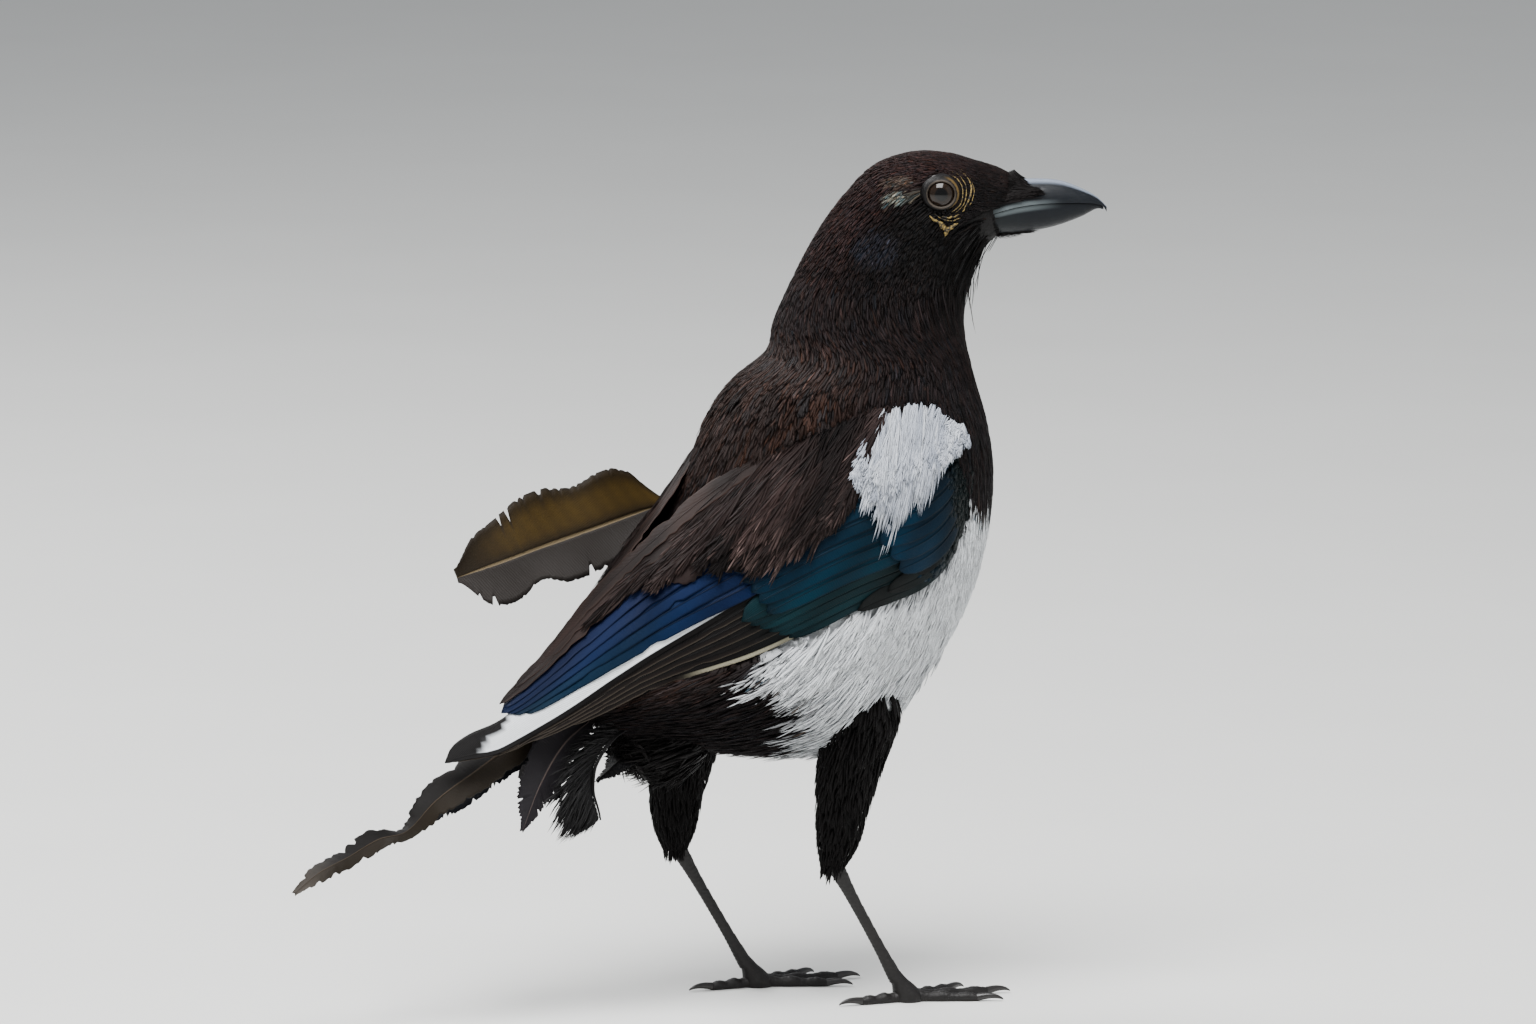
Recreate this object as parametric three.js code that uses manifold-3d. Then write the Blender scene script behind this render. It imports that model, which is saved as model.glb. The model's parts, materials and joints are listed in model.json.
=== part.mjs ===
// A Eurasian magpie at life size, standing, with its head turned over the right shoulder.
import * as THREE from 'three';
import { mergeVertices } from 'three/addons/utils/BufferGeometryUtils.js';
import Module from 'manifold-3d';

const wasm = await Module();
wasm.setup();

// Sizes are in millimetres and degrees. X is forward, Y is the bird's left and Z is up.
// While the bird is built, the origin is on the ground midway between the feet.

// Space that neighbouring pieces keep, how far a mesh may be simplified, and how near to each other
// corners are joined.
const touchGap = 0.3;
const meshTolerance = 0.012;
const joinReach = 1e-4;

// The neck twists between two heights, so that the head looks over the right shoulder.
const headTurn = THREE.MathUtils.degToRad(-27);
const neckAxisX = 18;
const neckTwistLow = 186;
const neckTwistHigh = 216;

// Rings round the body: the point on the back and on the belly as [x, z], and half the width.
const bodyRings = [
  { back: [-89, 94], belly: [-77, 87], half: 8 },
  { back: [-82, 101], belly: [-56, 81.5], half: 16 },
  { back: [-76, 109], belly: [-27, 75.5], half: 25 },
  { back: [-69, 118], belly: [4, 77], half: 32 },
  { back: [-61, 128.5], belly: [27, 95], half: 36 },
  { back: [-53, 140], belly: [41, 115], half: 38 },
  { back: [-46, 151], belly: [48.5, 136], half: 38.5 },
  { back: [-41, 163.5], belly: [50.8, 156], half: 38 },
  { back: [-35.5, 176], belly: [49, 171], half: 35.5 },
  { back: [-28.5, 186], belly: [46, 183], half: 31 },
  { back: [-17, 194], belly: [43.5, 193.5], half: 27.2 },
  { back: [-14.5, 202.5], belly: [42.5, 202.5], half: 24.5 },
  { back: [-10, 212.5], belly: [43.3, 210.7], half: 22 },
  { back: [-5.2, 222.5], belly: [44.5, 215], half: 20 },
  { back: [0.3, 232], belly: [46, 218.5], half: 18.3 },
  { back: [7, 241], belly: [48, 221.5], half: 17.2 },
  { back: [15.5, 249.5], belly: [50, 223.8], half: 16.8 },
  { back: [27, 253.6], belly: [51.5, 225.4], half: 16 },
  { back: [38, 253.3], belly: [53, 226.6], half: 14.4 },
  { back: [46.5, 251], belly: [54.5, 227.3], half: 12 },
  { back: [53, 249.6], belly: [56, 227.8], half: 10 },
  { back: [58, 248], belly: [57.5, 228.2], half: 8.8 },
];
const neckBaseRing = 10;
const neckTopRing = 12;
const bodySides = 28;
const ringsPerStep = { torso: 1.4, neck: 2.5, head: 1.8 };
// Share of a ring step that parts two nodes.
const partingStep = 0.018;

// Eyes, placed as if the bird looked straight ahead.
const eyeCentre = new THREE.Vector3(35.6, 11.2, 242.6);
const eyeRadius = 6;
const eyeForward = THREE.MathUtils.degToRad(1);
const lidProfile = [[3.6, 5.1], [4.15, 5.75], [4.9, 5.55], [5.8, 4.4], [5.8, 2], [4.2, 2.6]];

// Rings along the bill: height of its ridge, its gape and its keel, and half the width.
const billRings = [
  { x: 45, ridge: 239.3, gape: 233.4, keel: 229.4, half: 9 },
  { x: 52, ridge: 242.8, gape: 235.8, keel: 229, half: 8.4 },
  { x: 59, ridge: 245.1, gape: 237.6, keel: 229.2, half: 7.6 },
  { x: 66, ridge: 245.4, gape: 238.4, keel: 230.2, half: 6.6 },
  { x: 72, ridge: 244.7, gape: 238.5, keel: 231.8, half: 5.4 },
  { x: 78, ridge: 242.4, gape: 238.3, keel: 234.1, half: 3.9 },
  { x: 82.3, ridge: 240, gape: 237.8, keel: 236.3, half: 2.1 },
  { x: 85.3, ridge: 237, gape: 236.4, keel: 235.8, half: 0.5 },
];
const billSteps = 12;
const billArc = 7;
const billRoundness = 0.9;
const billLeastHalf = 0.4;
const lowerBillInset = 0.5;
const lowerBillEnd = 0.93;
const mouthLine = { from: 44.5, to: 58.5, height: 0.5, depthFrom: 7, depthTo: 20, steps: 5 };
const nostril = { x: 61.5, y: 5.6, z: 242.2, radius: 1.1 };

// Bristle locks on the base of the bill: their angles from the ridge, their reach, which is less
// from the ridge outwards, half their spread in radians, and their height over the bill.
const bristleLocks = {
  angles: [-100, -76, -52, -28, 0, 28, 52, 76, 100],
  rows: [0, 0.35, 0.7, 1],
  from: 49,
  to: 67.5,
  lessPerDegree: 0.06,
  spread: 0.19,
  narrowing: 0.13,
  lift: 0.45,
  thickness: 0.9,
  thinning: 0.45,
};

// Wing sheets, for the left wing: points of the lower and of the upper edge from the wrist to the
// tip, and how far the sheet bulges between them.
const wingStations = [
  { low: [34, 27, 153], high: [25, 26, 177], bulge: 2.5 },
  { low: [17, 33, 131], high: [2, 30, 180], bulge: 6 },
  { low: [-6, 34, 123], high: [-23, 24, 170], bulge: 9 },
  { low: [-38, 27, 109], high: [-46, 13, 149], bulge: 8 },
  { low: [-65, 19, 101], high: [-70, 6, 128], bulge: 5 },
  { low: [-100, 11, 88], high: [-98.5, 2.5, 102.5], bulge: 1.5 },
  { low: [-131, 9, 77], high: [-128, 4, 83], bulge: 0.3 },
];
// The tip of the left wing is drawn in behind the right one: how far in all, and between which
// places along the bird.
const drawnIn = { shift: [9, -1, -1.5], from: -45, to: -130 };
// Space for a wing in the torso: how deep it is, and how far under the sheet it starts.
const bedDepth = 30;
const bedClearance = 0.5;
const bedGrid = [15, 8];

// Feathers that lie over one another: their thickness, the share of it that is left at a pointed end,
// and the level from one to the next. A stack leans by this much at most, as a slope.
const vaneThickness = 0.5;
const vaneEndShare = 0.6;
const vaneStep = 0.85;
const vaneSlope = 0.35;

// The wing's fleshy core, in which all the feathers of a wing have their roots: where it starts and
// ends as shares of the wing's length, its thickness from the wrist backwards, and how its outer side
// rounds off towards both edges.
const wingCore = {
  from: 0.004,
  to: 0.4,
  thickness: [1.9, 3.2, 3.6, 4.4, 4.4],
  rounding: 0.7,
  squareness: 8,
  under: 0.7,
  grid: 7,
};
// Share of the wing's depth that its feathers keep from either edge.
const wingMargin = 0.013;

// Flight feathers: the outermost primary is lowest, and the last tertial lies on top. Roots, tips and
// stations are shares of the wing's length. A vane is two pitches wide, and the pitch is a share of
// the wing's depth.
const flight = {
  root: 0.28,
  tips: [0.93, 0.99, 1, 0.955, 0.86, 0.88, 0.895, 0.9, 0.86],
  stations: [0.4, 0.51, 0.62, 0.73, 0.83],
  pitch: 0.098,
  lift: 0.6,
};
// Ends of a flight feather: how near its tip the last full station may be, distance to its tip, and
// share of its full width there.
const lastStationGap = 0.052;
const flightTip = [[0.04, 0.92], [0.012, 0.6], [0, 0.12]];
const flightRootShare = 0.5;

// Rows of coverts: greater, median and lesser, and the alula at the wing's edge.
const covertRows = [
  { root: 0.13, lowest: 0.02, pitch: 0.09, tips: [0.43, 0.46, 0.465, 0.455, 0.44], lift: [-1.6, 0.3] },
  { root: 0.045, lowest: 0.06, pitch: 0.1, tips: [0.25, 0.27, 0.265, 0.25], lift: [-1.4, 1.3] },
  { root: 0.006, lowest: 0.12, pitch: 0.16, tips: [0.13, 0.14], lift: [-1.2, 1.1] },
  { root: 0.03, lowest: 0.014, pitch: 0.045, tips: [0.2], lift: [-1, 0.6] },
];
// Outline of a covert: share of its length, of its full width and of its lift there.
const covertOutline = [[0, 0.6, 0], [0.42, 1, 0.8], [0.85, 0.85, 0.95], [1, 0.25, 1]];
// Outline of a scapular feather: share of its length and of its full width there.
const scapularOutline = [[0, 0.8], [0.4, 1], [0.82, 0.85], [1, 0.2]];

// Scapulars, by the corners of their patch on the wing sheet as [s, t]: upper and lower root, then
// upper and lower tip. Tips are shares of the patch's length, from the lowest feather up, and the
// floor is the height of its under side over the sheet, at the roots and at the tips.
const scapularPatches = {
  white: {
    corners: [[0.08, 1], [0.015, 0.68], [0.23, 0.86], [0.3, 0.42]],
    tips: [1.02, 1.07, 0.98, 0.97],
    floor: [3.6, 7.2],
    paint: 'white',
  },
  black: {
    corners: [[0.14, 1], [0.26, 0.84], [0.6, 0.94], [0.42, 0.38]],
    tips: [0.98, 1.04, 0.96, 1.04, 0.99],
    floor: [4.8, 6.4],
    paint: 'back',
  },
};
// Their common root: its share of the patch's length, its sides in the patch, and its thickness over
// the floor in steps of a stack.
const scapularRoot = { share: 0.16, from: 0.02, to: 0.98, steps: 6, height: 1.5 };

// Feathers on a shaft: thickness, how much of it is lost at the tip, and rise along the shaft.
const featherThickness = 0.75;
const featherThinning = 0.4;
const featherBow = 0.6;

// The displaced feather of the left wing: its shaft, and how far each vane reaches from it.
const looseFeather = {
  shaft: [[-44, 20, 149], [-61, 19.5, 144.8], [-79, 20, 140], [-96, 20, 135.5], [-113.4, 20, 131]],
  up: [2, 14, 15.8, 14.3, 17, 16.2, 12.8, 9.8, 2.8],
  down: [1, 6, 10.5, 12.4, 12.6, 9.2, 12.6, 11, 1.5],
  facing: [0.35, 0.9, -0.1],
};

// Tail feathers, for which the tail is short, worn and in moult: shaft, half widths and facing.
const tailFeathers = [
  {
    shaft: [
      [-78, 0, 92], [-100, -2, 86], [-121, -4, 75.5], [-133, -5, 68.5], [-142.6, -5, 60.2],
      [-151.4, -5, 58.6], [-161.5, -5, 54], [-171, -5, 50], [-179, -5, 44.5],
    ],
    half: [3, 6, 5.8, 4.8, 2.1, 3.8, 3.2, 2.8, 0.8],
    facing: [-0.3, -0.85, 0.45],
  },
  {
    shaft: [[-78, 3, 90], [-100, 3, 82], [-120, 3, 70.5], [-138, 2, 60]],
    half: [3, 6, 7, 6.2, 4.4, 1],
    facing: [-0.3, -0.5, 0.8],
  },
  {
    shaft: [[-80, -3, 90], [-92, -7, 83], [-100, -8, 72], [-106, -8, 58.5]],
    half: [3, 7, 7.6, 6.4, 3.8, 0.6],
    facing: [0.1, -1, 0.1],
  },
  {
    shaft: [[-78, 5, 88], [-90, 8, 80], [-98, 9, 71]],
    half: [3, 6, 7, 5, 1],
    facing: [-0.2, 0.9, 0.3],
  },
];
// The tail's root carries on from the torso: its middle, its way, and how its rings shrink.
const tailBase = [-83, 0, 90.5];
const tailWay = [-0.91, 0, -0.41];
const tailRootStep = 5;
const tailRootShares = [1, 0.8, 0.6, 0.4];
// Feathers under the tail, and the middle and half sizes of the downy pad that they grow from. The
// first one curls, with long barbs on its inner side.
const underTailFeathers = [
  {
    shaft: [[-62, -7, 87], [-73, -9, 86], [-81, -9.5, 79], [-83, -9.5, 70], [-80.5, -9, 60]],
    up: [2, 1, 0.8, 0.8, 0.6],
    down: [2, 6, 12, 16, 2.5],
    facing: [0.2, -1, 0.1],
  },
  {
    shaft: [[-56, 5, 84], [-65, 8, 77], [-69, 9, 70]],
    half: [3, 5, 5, 3, 0.8],
    facing: [0.3, 1, 0.2],
  },
  {
    shaft: [[-60, 0, 82], [-70, -2, 76], [-78, -2, 70]],
    half: [3, 5, 5, 3, 0.8],
    facing: [-0.5, -0.3, 0.9],
  },
];
const ventPad = { middle: [-53, 0, 81], half: [14, 11, 9.5] };

// Sides and rows of round pieces.
const ballSides = 16;
const ballRows = 10;
const pitSides = 8;
const pitRows = 6;

// Legs: for each side, the feathered thigh's middle as [x, z], and the foot's middle.
const legs = {
  right: {
    side: -1,
    thigh: [[4, 102], [1, 87], [-3.5, 73], [-6, 61], [-7.7, 49.5], [-9.5, 42]],
    foot: 14,
  },
  left: {
    side: 1,
    thigh: [[-26, 102], [-32, 87], [-37, 73], [-39.5, 61], [-40, 50.5], [-40, 43.5]],
    foot: -14,
  },
};
const legSpread = 22;
const thighHalf = [5, 10.6, 9.8, 8, 6.2, 3.4];
const thighFlatness = 0.82;
const thighSteps = 9;
const thighSides = 14;
const tarsusHalf = [3, 2, 1.8, 1.9, 2.6];
const tarsusSteps = 6;
const tarsusSides = 8;
const footHeight = 7;
const hubSides = 12;
// Rings of the foot's hub: height, half width, and how far the ring lies before the foot's middle.
const hubRings = [[0, 4.2, 2], [2.5, 4.4, 1.6], [5, 3.4, 0.2], [footHeight, 2.7, -1.5]];
const toes = [
  { turn: 26, length: 22, half: 1.9 },
  { turn: 0, length: 28, half: 2 },
  { turn: -26, length: 22, half: 1.9 },
  { turn: 180, length: 15, half: 2.1 },
];
const toeHeight = 3.4;
const toeStart = 1;
const toePads = 3;
const toePadDepth = 0.1;
const toeTaper = 0.32;
const toeSteps = 7;
const toeSides = 8;
// Share of a toe's height at which it is widest.
const toeWidest = 0.42;
const clawLength = 8.1;
const clawWide = 0.95;
const clawHigh = 2;
const clawEnd = 0.18;
const clawTaper = 0.8;
const clawArch = 1.1;
const clawArchSpan = 0.8;
const clawArchFade = 0.4;
const clawBend = 1.15;
const clawSteps = 5;

const paint = {
  head: [0x16110f, 0.6],
  back: [0x1d1613, 0.7],
  wing: [0x14324a, 0.35],
  white: [0xd9dadd, 0.8],
  tail: [0x221b14, 0.5],
  bill: [0x1c2228, 0.3],
  eye: [0x060504, 0.05],
  leg: [0x15130f, 0.6],
};

const range = (count) => Array.from({ length: count }, (_, k) => k);
const spread = (count, from, to) => range(count).map((k) => from + (to - from) * (k / (count - 1)));
const at = ([x, y, z]) => new THREE.Vector3(x, y, z);

// A smooth run through a list of numbers, read at 0 to 1.
function run(values) {
  const curve = new THREE.SplineCurve(values.map((value, k) => new THREE.Vector2(k, value)));
  return (u) => curve.getPoint(u).y;
}

// Where the twist of the neck carries a point.
function carried(point) {
  const share = THREE.MathUtils.smoothstep(point.z, neckTwistLow, neckTwistHigh);
  const moved = point.clone();
  moved.x -= neckAxisX;
  moved.applyAxisAngle(new THREE.Vector3(0, 0, 1), headTurn * share);
  moved.x += neckAxisX;
  return moved;
}

function signedVolume(points, triangles) {
  let sum = 0;
  for (let k = 0; k < triangles.length; k += 3) {
    const [a, b, c] = triangles.slice(k, k + 3).map((n) => points[n]);
    sum += a.dot(b.clone().cross(c));
  }
  return sum / 6;
}

// A solid with its faces outward, in the bird's pose.
function solidFrom(points, triangles) {
  const posed = points.map(carried);
  const outward = signedVolume(posed, triangles) > 0 ? triangles : triangles.toReversed();
  return new wasm.Manifold(new wasm.Mesh({
    numProp: 3,
    vertProperties: new Float32Array(posed.flatMap((point) => point.toArray())),
    triVerts: new Uint32Array(outward),
  }));
}

// A solid from a closed three.js shape, mirrored to the right side where side is -1.
function solidOfShape(geometry, side = 1) {
  geometry.deleteAttribute('normal');
  geometry.deleteAttribute('uv');
  const merged = mergeVertices(geometry, joinReach);
  const places = merged.getAttribute('position');
  const points = range(places.count).map((k) => new THREE.Vector3().fromBufferAttribute(places, k));
  points.forEach((point) => { point.y *= side; });
  const index = Array.from(merged.index.array);
  const kept = index.filter((_, k) => {
    const corner = k - (k % 3);
    return new Set(index.slice(corner, corner + 3)).size === 3;
  });
  return solidFrom(points, kept);
}

// A closed skin over equal rings of points, with a fan over either end.
function skin(rings) {
  const count = rings[0].length;
  const points = rings.flat();
  const triangles = [];
  range(rings.length - 1).forEach((row) => range(count).forEach((k) => {
    const a = row * count + k;
    const b = row * count + ((k + 1) % count);
    triangles.push(a, b, b + count, a, b + count, a + count);
  }));
  for (const [row, turned] of [[0, true], [rings.length - 1, false]]) {
    const middle = points.length;
    const sum = rings[row].reduce((total, point) => total.add(point), new THREE.Vector3());
    points.push(sum.divideScalar(count));
    range(count).forEach((k) => {
      const a = row * count + k;
      const b = row * count + ((k + 1) % count);
      triangles.push(middle, turned ? b : a, turned ? a : b);
    });
  }
  return solidFrom(points, triangles);
}

// A plate over a grid: place(u, v, face) gives a point of its under face, 0, or upper face, 1.
function plate(us, vs, place) {
  const wide = vs.length;
  const layer = us.length * wide;
  const points = [0, 1].flatMap((face) => us.flatMap((u) => vs.map((v) => place(u, v, face))));
  const triangles = [];
  range(us.length - 1).forEach((row) => range(wide - 1).forEach((col) => {
    const a = row * wide + col;
    const b = a + wide;
    triangles.push(a, b + 1, b, a, a + 1, b + 1);
    triangles.push(layer + a, layer + b, layer + b + 1, layer + a, layer + b + 1, layer + a + 1);
  }));
  const rim = [
    ...range(us.length).map((row) => row * wide),
    ...range(wide).slice(1).map((col) => layer - wide + col),
    ...range(us.length).slice(1).map((row) => layer - 1 - row * wide),
    ...range(wide).slice(1, -1).map((col) => wide - 1 - col),
  ];
  rim.forEach((p, k) => {
    const q = rim[(k + 1) % rim.length];
    triangles.push(layer + q, layer + p, p, layer + q, p, q);
  });
  return solidFrom(points, triangles);
}

// The largest closed surface of a solid.
function whole(solid) {
  return solid.decompose().reduce((best, piece) => (piece.volume() > best.volume() ? piece : best));
}

const fuse = (solids) => whole(wasm.Manifold.union(solids));

const bird = new THREE.Group();

function addNode(name, solid, [color, roughness]) {
  const { vertProperties, triVerts } = solid.simplify(meshTolerance).getMesh();
  const geometry = new THREE.BufferGeometry();
  geometry.setAttribute('position', new THREE.BufferAttribute(new Float32Array(vertProperties), 3));
  geometry.setIndex(Array.from(triVerts));
  geometry.computeVertexNormals();
  const mesh = new THREE.Mesh(geometry, new THREE.MeshStandardMaterial({ color, roughness }));
  mesh.name = name;
  bird.add(mesh);
}

// Body: one loft, parted into torso, neck and head.
const backLine = new THREE.SplineCurve(bodyRings.map((ring) => new THREE.Vector2(...ring.back)));
const bellyLine = new THREE.SplineCurve(bodyRings.map((ring) => new THREE.Vector2(...ring.belly)));
const bodyHalf = run(bodyRings.map((ring) => ring.half));

function bodyRing(step, grow = 0) {
  const u = step / (bodyRings.length - 1);
  const back = backLine.getPoint(u);
  const belly = bellyLine.getPoint(u);
  const middle = back.clone().add(belly).multiplyScalar(0.5);
  const arm = back.clone().sub(belly).multiplyScalar(0.5);
  arm.setLength(arm.length() + grow);
  const half = bodyHalf(u) + grow;
  return range(bodySides).map((k) => {
    const angle = (2 * Math.PI * k) / bodySides;
    const rise = Math.sin(angle);
    return new THREE.Vector3(middle.x + arm.x * rise, half * Math.cos(angle), middle.y + arm.y * rise);
  });
}

function bodyPart(from, to, perStep, grow = 0) {
  const count = Math.round((to - from) * perStep) + 1;
  return skin(spread(count, from, to).map((step) => bodyRing(step, grow)));
}

const grownTorso = bodyPart(0, neckBaseRing, ringsPerStep.torso, touchGap);

// Wings: a sheet between the lower and the upper edge, which bulges outward.
const lowEdge = new THREE.CatmullRomCurve3(wingStations.map((station) => at(station.low)));
const highEdge = new THREE.CatmullRomCurve3(wingStations.map((station) => at(station.high)));
const wingBulge = run(wingStations.map((station) => station.bulge));
const wingChord = (s) => highEdge.getPoint(s).distanceTo(lowEdge.getPoint(s));

function wingSheet(s, t) {
  const low = lowEdge.getPoint(s);
  const chord = highEdge.getPoint(s).sub(low);
  const out = lowEdge.getTangent(s).cross(chord).normalize();
  const bulge = wingBulge(s) * 4 * t * (1 - t);
  return low.addScaledVector(chord, t).addScaledVector(out, bulge);
}

// A point at height h over the sheet.
function wingPoint(s, t, h) {
  const reach = 0.01;
  const before = Math.max(s - reach, 0);
  const after = Math.min(s + reach, 1);
  const along = wingSheet(after, t).sub(wingSheet(before, t));
  const across = wingSheet(s, t + reach).sub(wingSheet(s, t - reach));
  return wingSheet(s, t).addScaledVector(along.cross(across).normalize(), h);
}

// A point of the left wing's sheet on its own side: drawn in on the left, mirrored on the right.
function settled(point, side) {
  if (side < 0) {
    return new THREE.Vector3(point.x, -point.y, point.z);
  }
  const share = THREE.MathUtils.smoothstep(-point.x, -drawnIn.from, -drawnIn.to);
  return point.clone().addScaledVector(at(drawnIn.shift), share);
}

function wingBed(side) {
  const [us, vs] = bedGrid.map((count) => spread(count, 0, 1));
  return plate(us, vs, (s, t, face) => (
    settled(wingPoint(s, t, face ? bedDepth : -bedClearance), side)
  ));
}

// Height of a vane in a stack. Each vane lies one step over the one before it, and the stack leans,
// so that only the lower edge of each vane is bare. Places across the stack are counted in pitches.
const stacked = (k, place, lean = 1) => vaneStep * (k + lean * (2 - place));

const flightLean = (s) => Math.min(1, (vaneSlope * flight.pitch * wingChord(s)) / vaneStep);

// A vane of two pitches on the wing, through rows of [s, share of its width, height].
function vaneOnWing(side, rows, vs, k, lowest, pitch) {
  return plate(rows, vs, ([s, share, height], v, face) => {
    const place = k + 1 + v * share;
    const thickness = vaneThickness * THREE.MathUtils.lerp(vaneEndShare, 1, share);
    const lean = pitch === flight.pitch ? flightLean(s) : 1;
    const high = height + stacked(k, place, lean) + face * thickness;
    return settled(wingPoint(s, lowest + pitch * place, high), side);
  });
}

function flightVane(side, tip, k) {
  const rows = [
    [flight.root, flightRootShare],
    ...flight.stations.filter((s) => s < tip - lastStationGap).map((s) => [s, 1]),
    ...flightTip.map(([gap, share]) => [tip - gap, share]),
  ];
  const raised = rows.map((row) => [...row, flight.lift]);
  return vaneOnWing(side, raised, [-1, 0, 1], k, wingMargin, flight.pitch);
}

// Height of the core's outer side over the sheet. Past the core, coverts lie on the flight feathers.
const coreThickness = run(wingCore.thickness);
const coreHeight = (s) => coreThickness(Math.min(s / wingCore.to, 1));

function coreSkin(s, t) {
  return coreHeight(s) * (1 - wingCore.rounding * (2 * t - 1) ** wingCore.squareness);
}

function wingFace(s) {
  const onFlights = flight.lift + stacked(0, 0) + vaneThickness + touchGap;
  const past = THREE.MathUtils.smoothstep(s, flight.root, wingCore.to);
  return THREE.MathUtils.lerp(coreHeight(s), onFlights, past);
}

function covert(side, row, tip, k) {
  const rows = covertOutline.map(([u, share, rise]) => {
    const s = THREE.MathUtils.lerp(row.root, tip, u);
    return [s, share, wingFace(s) + THREE.MathUtils.lerp(...row.lift, rise)];
  });
  return vaneOnWing(side, rows, [-1, 1], k, row.lowest, row.pitch);
}

function wingSolids(side) {
  const us = spread(wingCore.grid, wingCore.from, wingCore.to);
  const vs = spread(wingCore.grid, wingMargin, 1 - wingMargin);
  const core = plate(us, vs, (s, t, face) => (
    settled(wingPoint(s, t, face ? coreSkin(s, t) : wingCore.under), side)
  ));
  return [
    core,
    ...flight.tips.map((tip, k) => flightVane(side, tip, k)),
    ...covertRows.flatMap((row) => row.tips.map((tip, k) => covert(side, row, tip, k))),
  ];
}

// A feather on a curved shaft: how far each vane reaches along it, and the way that it faces.
function feather({ shaft, up, down, half, facing }, grow = 0) {
  const curve = new THREE.CatmullRomCurve3(shaft.map(at));
  const reach = { 1: run(up ?? half), [-1]: run(down ?? half) };
  const rows = (up ?? half).length;
  const normal = at(facing).normalize();
  return plate(spread(rows, 0, 1), [-1, 0, 1], (u, v, face) => {
    const across = curve.getTangent(u).cross(normal).normalize();
    const width = v === 0 ? 0 : reach[v](u) + grow;
    const thickness = featherThickness * (1 - featherThinning * u) + 2 * grow;
    const lift = (face - 0.5) * thickness + (v === 0 ? featherBow : 0);
    return curve.getPoint(u).addScaledVector(across, -v * width).addScaledVector(normal, lift);
  });
}

// Torso.
const plainTorso = bodyPart(0, neckBaseRing - partingStep, ringsPerStep.torso);
const bedded = wasm.Manifold.difference([plainTorso, ...[-1, 1].map(wingBed)]);
addNode('torso', whole(bedded), paint.white);

// Neck.
const neck = bodyPart(neckBaseRing + partingStep, neckTopRing - partingStep, ringsPerStep.neck);
addNode('neck', neck, paint.head);

// Bill: an upper and a lower half that meet at the gape, and the space that they take in the head.
const billX = run(billRings.map((ring) => ring.x));
const billRidge = run(billRings.map((ring) => ring.ridge));
const billGape = run(billRings.map((ring) => ring.gape));
const billKeel = run(billRings.map((ring) => ring.keel));
const billHalf = run(billRings.map((ring) => ring.half));

function billRing(u, rise, half, base) {
  const arc = range(billArc + 1).map((k) => {
    const angle = (Math.PI * k) / billArc;
    const height = base + rise * Math.sin(angle) ** billRoundness;
    return new THREE.Vector3(billX(u), half * Math.cos(angle), height);
  });
  return [...arc, new THREE.Vector3(billX(u), 0, base)];
}

const upperBill = skin(spread(billSteps, 0, 1).map((u) => {
  const base = billGape(u) + touchGap / 2;
  return billRing(u, billRidge(u) - base, billHalf(u), base);
}));
const lowerBill = skin(spread(billSteps - 1, 0, lowerBillEnd).map((u) => {
  const base = billGape(u) - touchGap / 2;
  return billRing(u, billKeel(u) - base, Math.max(billHalf(u) - lowerBillInset, billLeastHalf), base);
}));
const billSpace = skin(spread(billSteps, 0, 1).map((u) => range(bodySides / 2).map((k) => {
  const angle = (4 * Math.PI * k) / bodySides;
  const rise = Math.sin(angle) > 0 ? billRidge(u) - billGape(u) : billGape(u) - billKeel(u);
  const start = billX(u) - (u === 0 ? touchGap : 0);
  return new THREE.Vector3(
    start,
    (billHalf(u) + touchGap) * Math.cos(angle),
    billGape(u) + (rise + touchGap) * Math.sin(angle),
  );
})));

// A bristle lock lies along the top of the bill, at an angle from its ridge.
function bristle(degrees) {
  const angle = THREE.MathUtils.degToRad(degrees);
  const lock = bristleLocks;
  const reach = lock.to - Math.abs(degrees) * lock.lessPerDegree;
  return plate(lock.rows, [-1, 1], (u, v, face) => {
    const x = lock.from + (reach - lock.from) * u;
    const along = (x - billRings[0].x) / (billRings.at(-1).x - billRings[0].x);
    const turn = angle + v * (lock.spread - lock.narrowing * u);
    const lift = lock.lift + face * (lock.thickness - lock.thinning * u);
    const half = billHalf(along) + lift;
    const rise = billRidge(along) - billGape(along) + lift;
    return new THREE.Vector3(x, half * Math.sin(turn), billGape(along) + rise * Math.cos(turn));
  });
}

// Head, with its lids, the line of its mouth and the bristles over its nostrils.
function atEye(geometry) {
  return geometry.rotateZ(-eyeForward).translate(eyeCentre.x, eyeCentre.y, eyeCentre.z);
}

const lidPoints = [...lidProfile, lidProfile[0]].map(([radius, out]) => new THREE.Vector2(radius, out));
const socketShape = () => atEye(new THREE.SphereGeometry(eyeRadius + touchGap, ballSides, ballRows));
const mouthHeight = new THREE.SplineCurve(billRings.map((ring) => new THREE.Vector2(ring.x, ring.gape)));

function mouthCut(side) {
  const span = (mouthLine.to - mouthLine.from) / (billRings.at(-1).x - billRings[0].x);
  const us = spread(mouthLine.steps, 0, span);
  return plate(us, [mouthLine.depthFrom, mouthLine.depthTo], (u, y, face) => {
    const spot = mouthHeight.getPoint(u);
    return new THREE.Vector3(spot.x, y * side, spot.y + (face - 0.5) * mouthLine.height);
  });
}

const headSolids = [
  bodyPart(neckTopRing + partingStep, bodyRings.length - 1, ringsPerStep.head),
  ...[-1, 1].map((side) => solidOfShape(atEye(new THREE.LatheGeometry(lidPoints, ballSides)), side)),
  ...bristleLocks.angles.map(bristle),
];
const headCuts = [
  billSpace,
  ...[-1, 1].map((side) => solidOfShape(socketShape(), side)),
  ...[-1, 1].map(mouthCut),
];
addNode(
  'head',
  whole(wasm.Manifold.difference([fuse(headSolids), ...headCuts])),
  paint.head,
);

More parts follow.
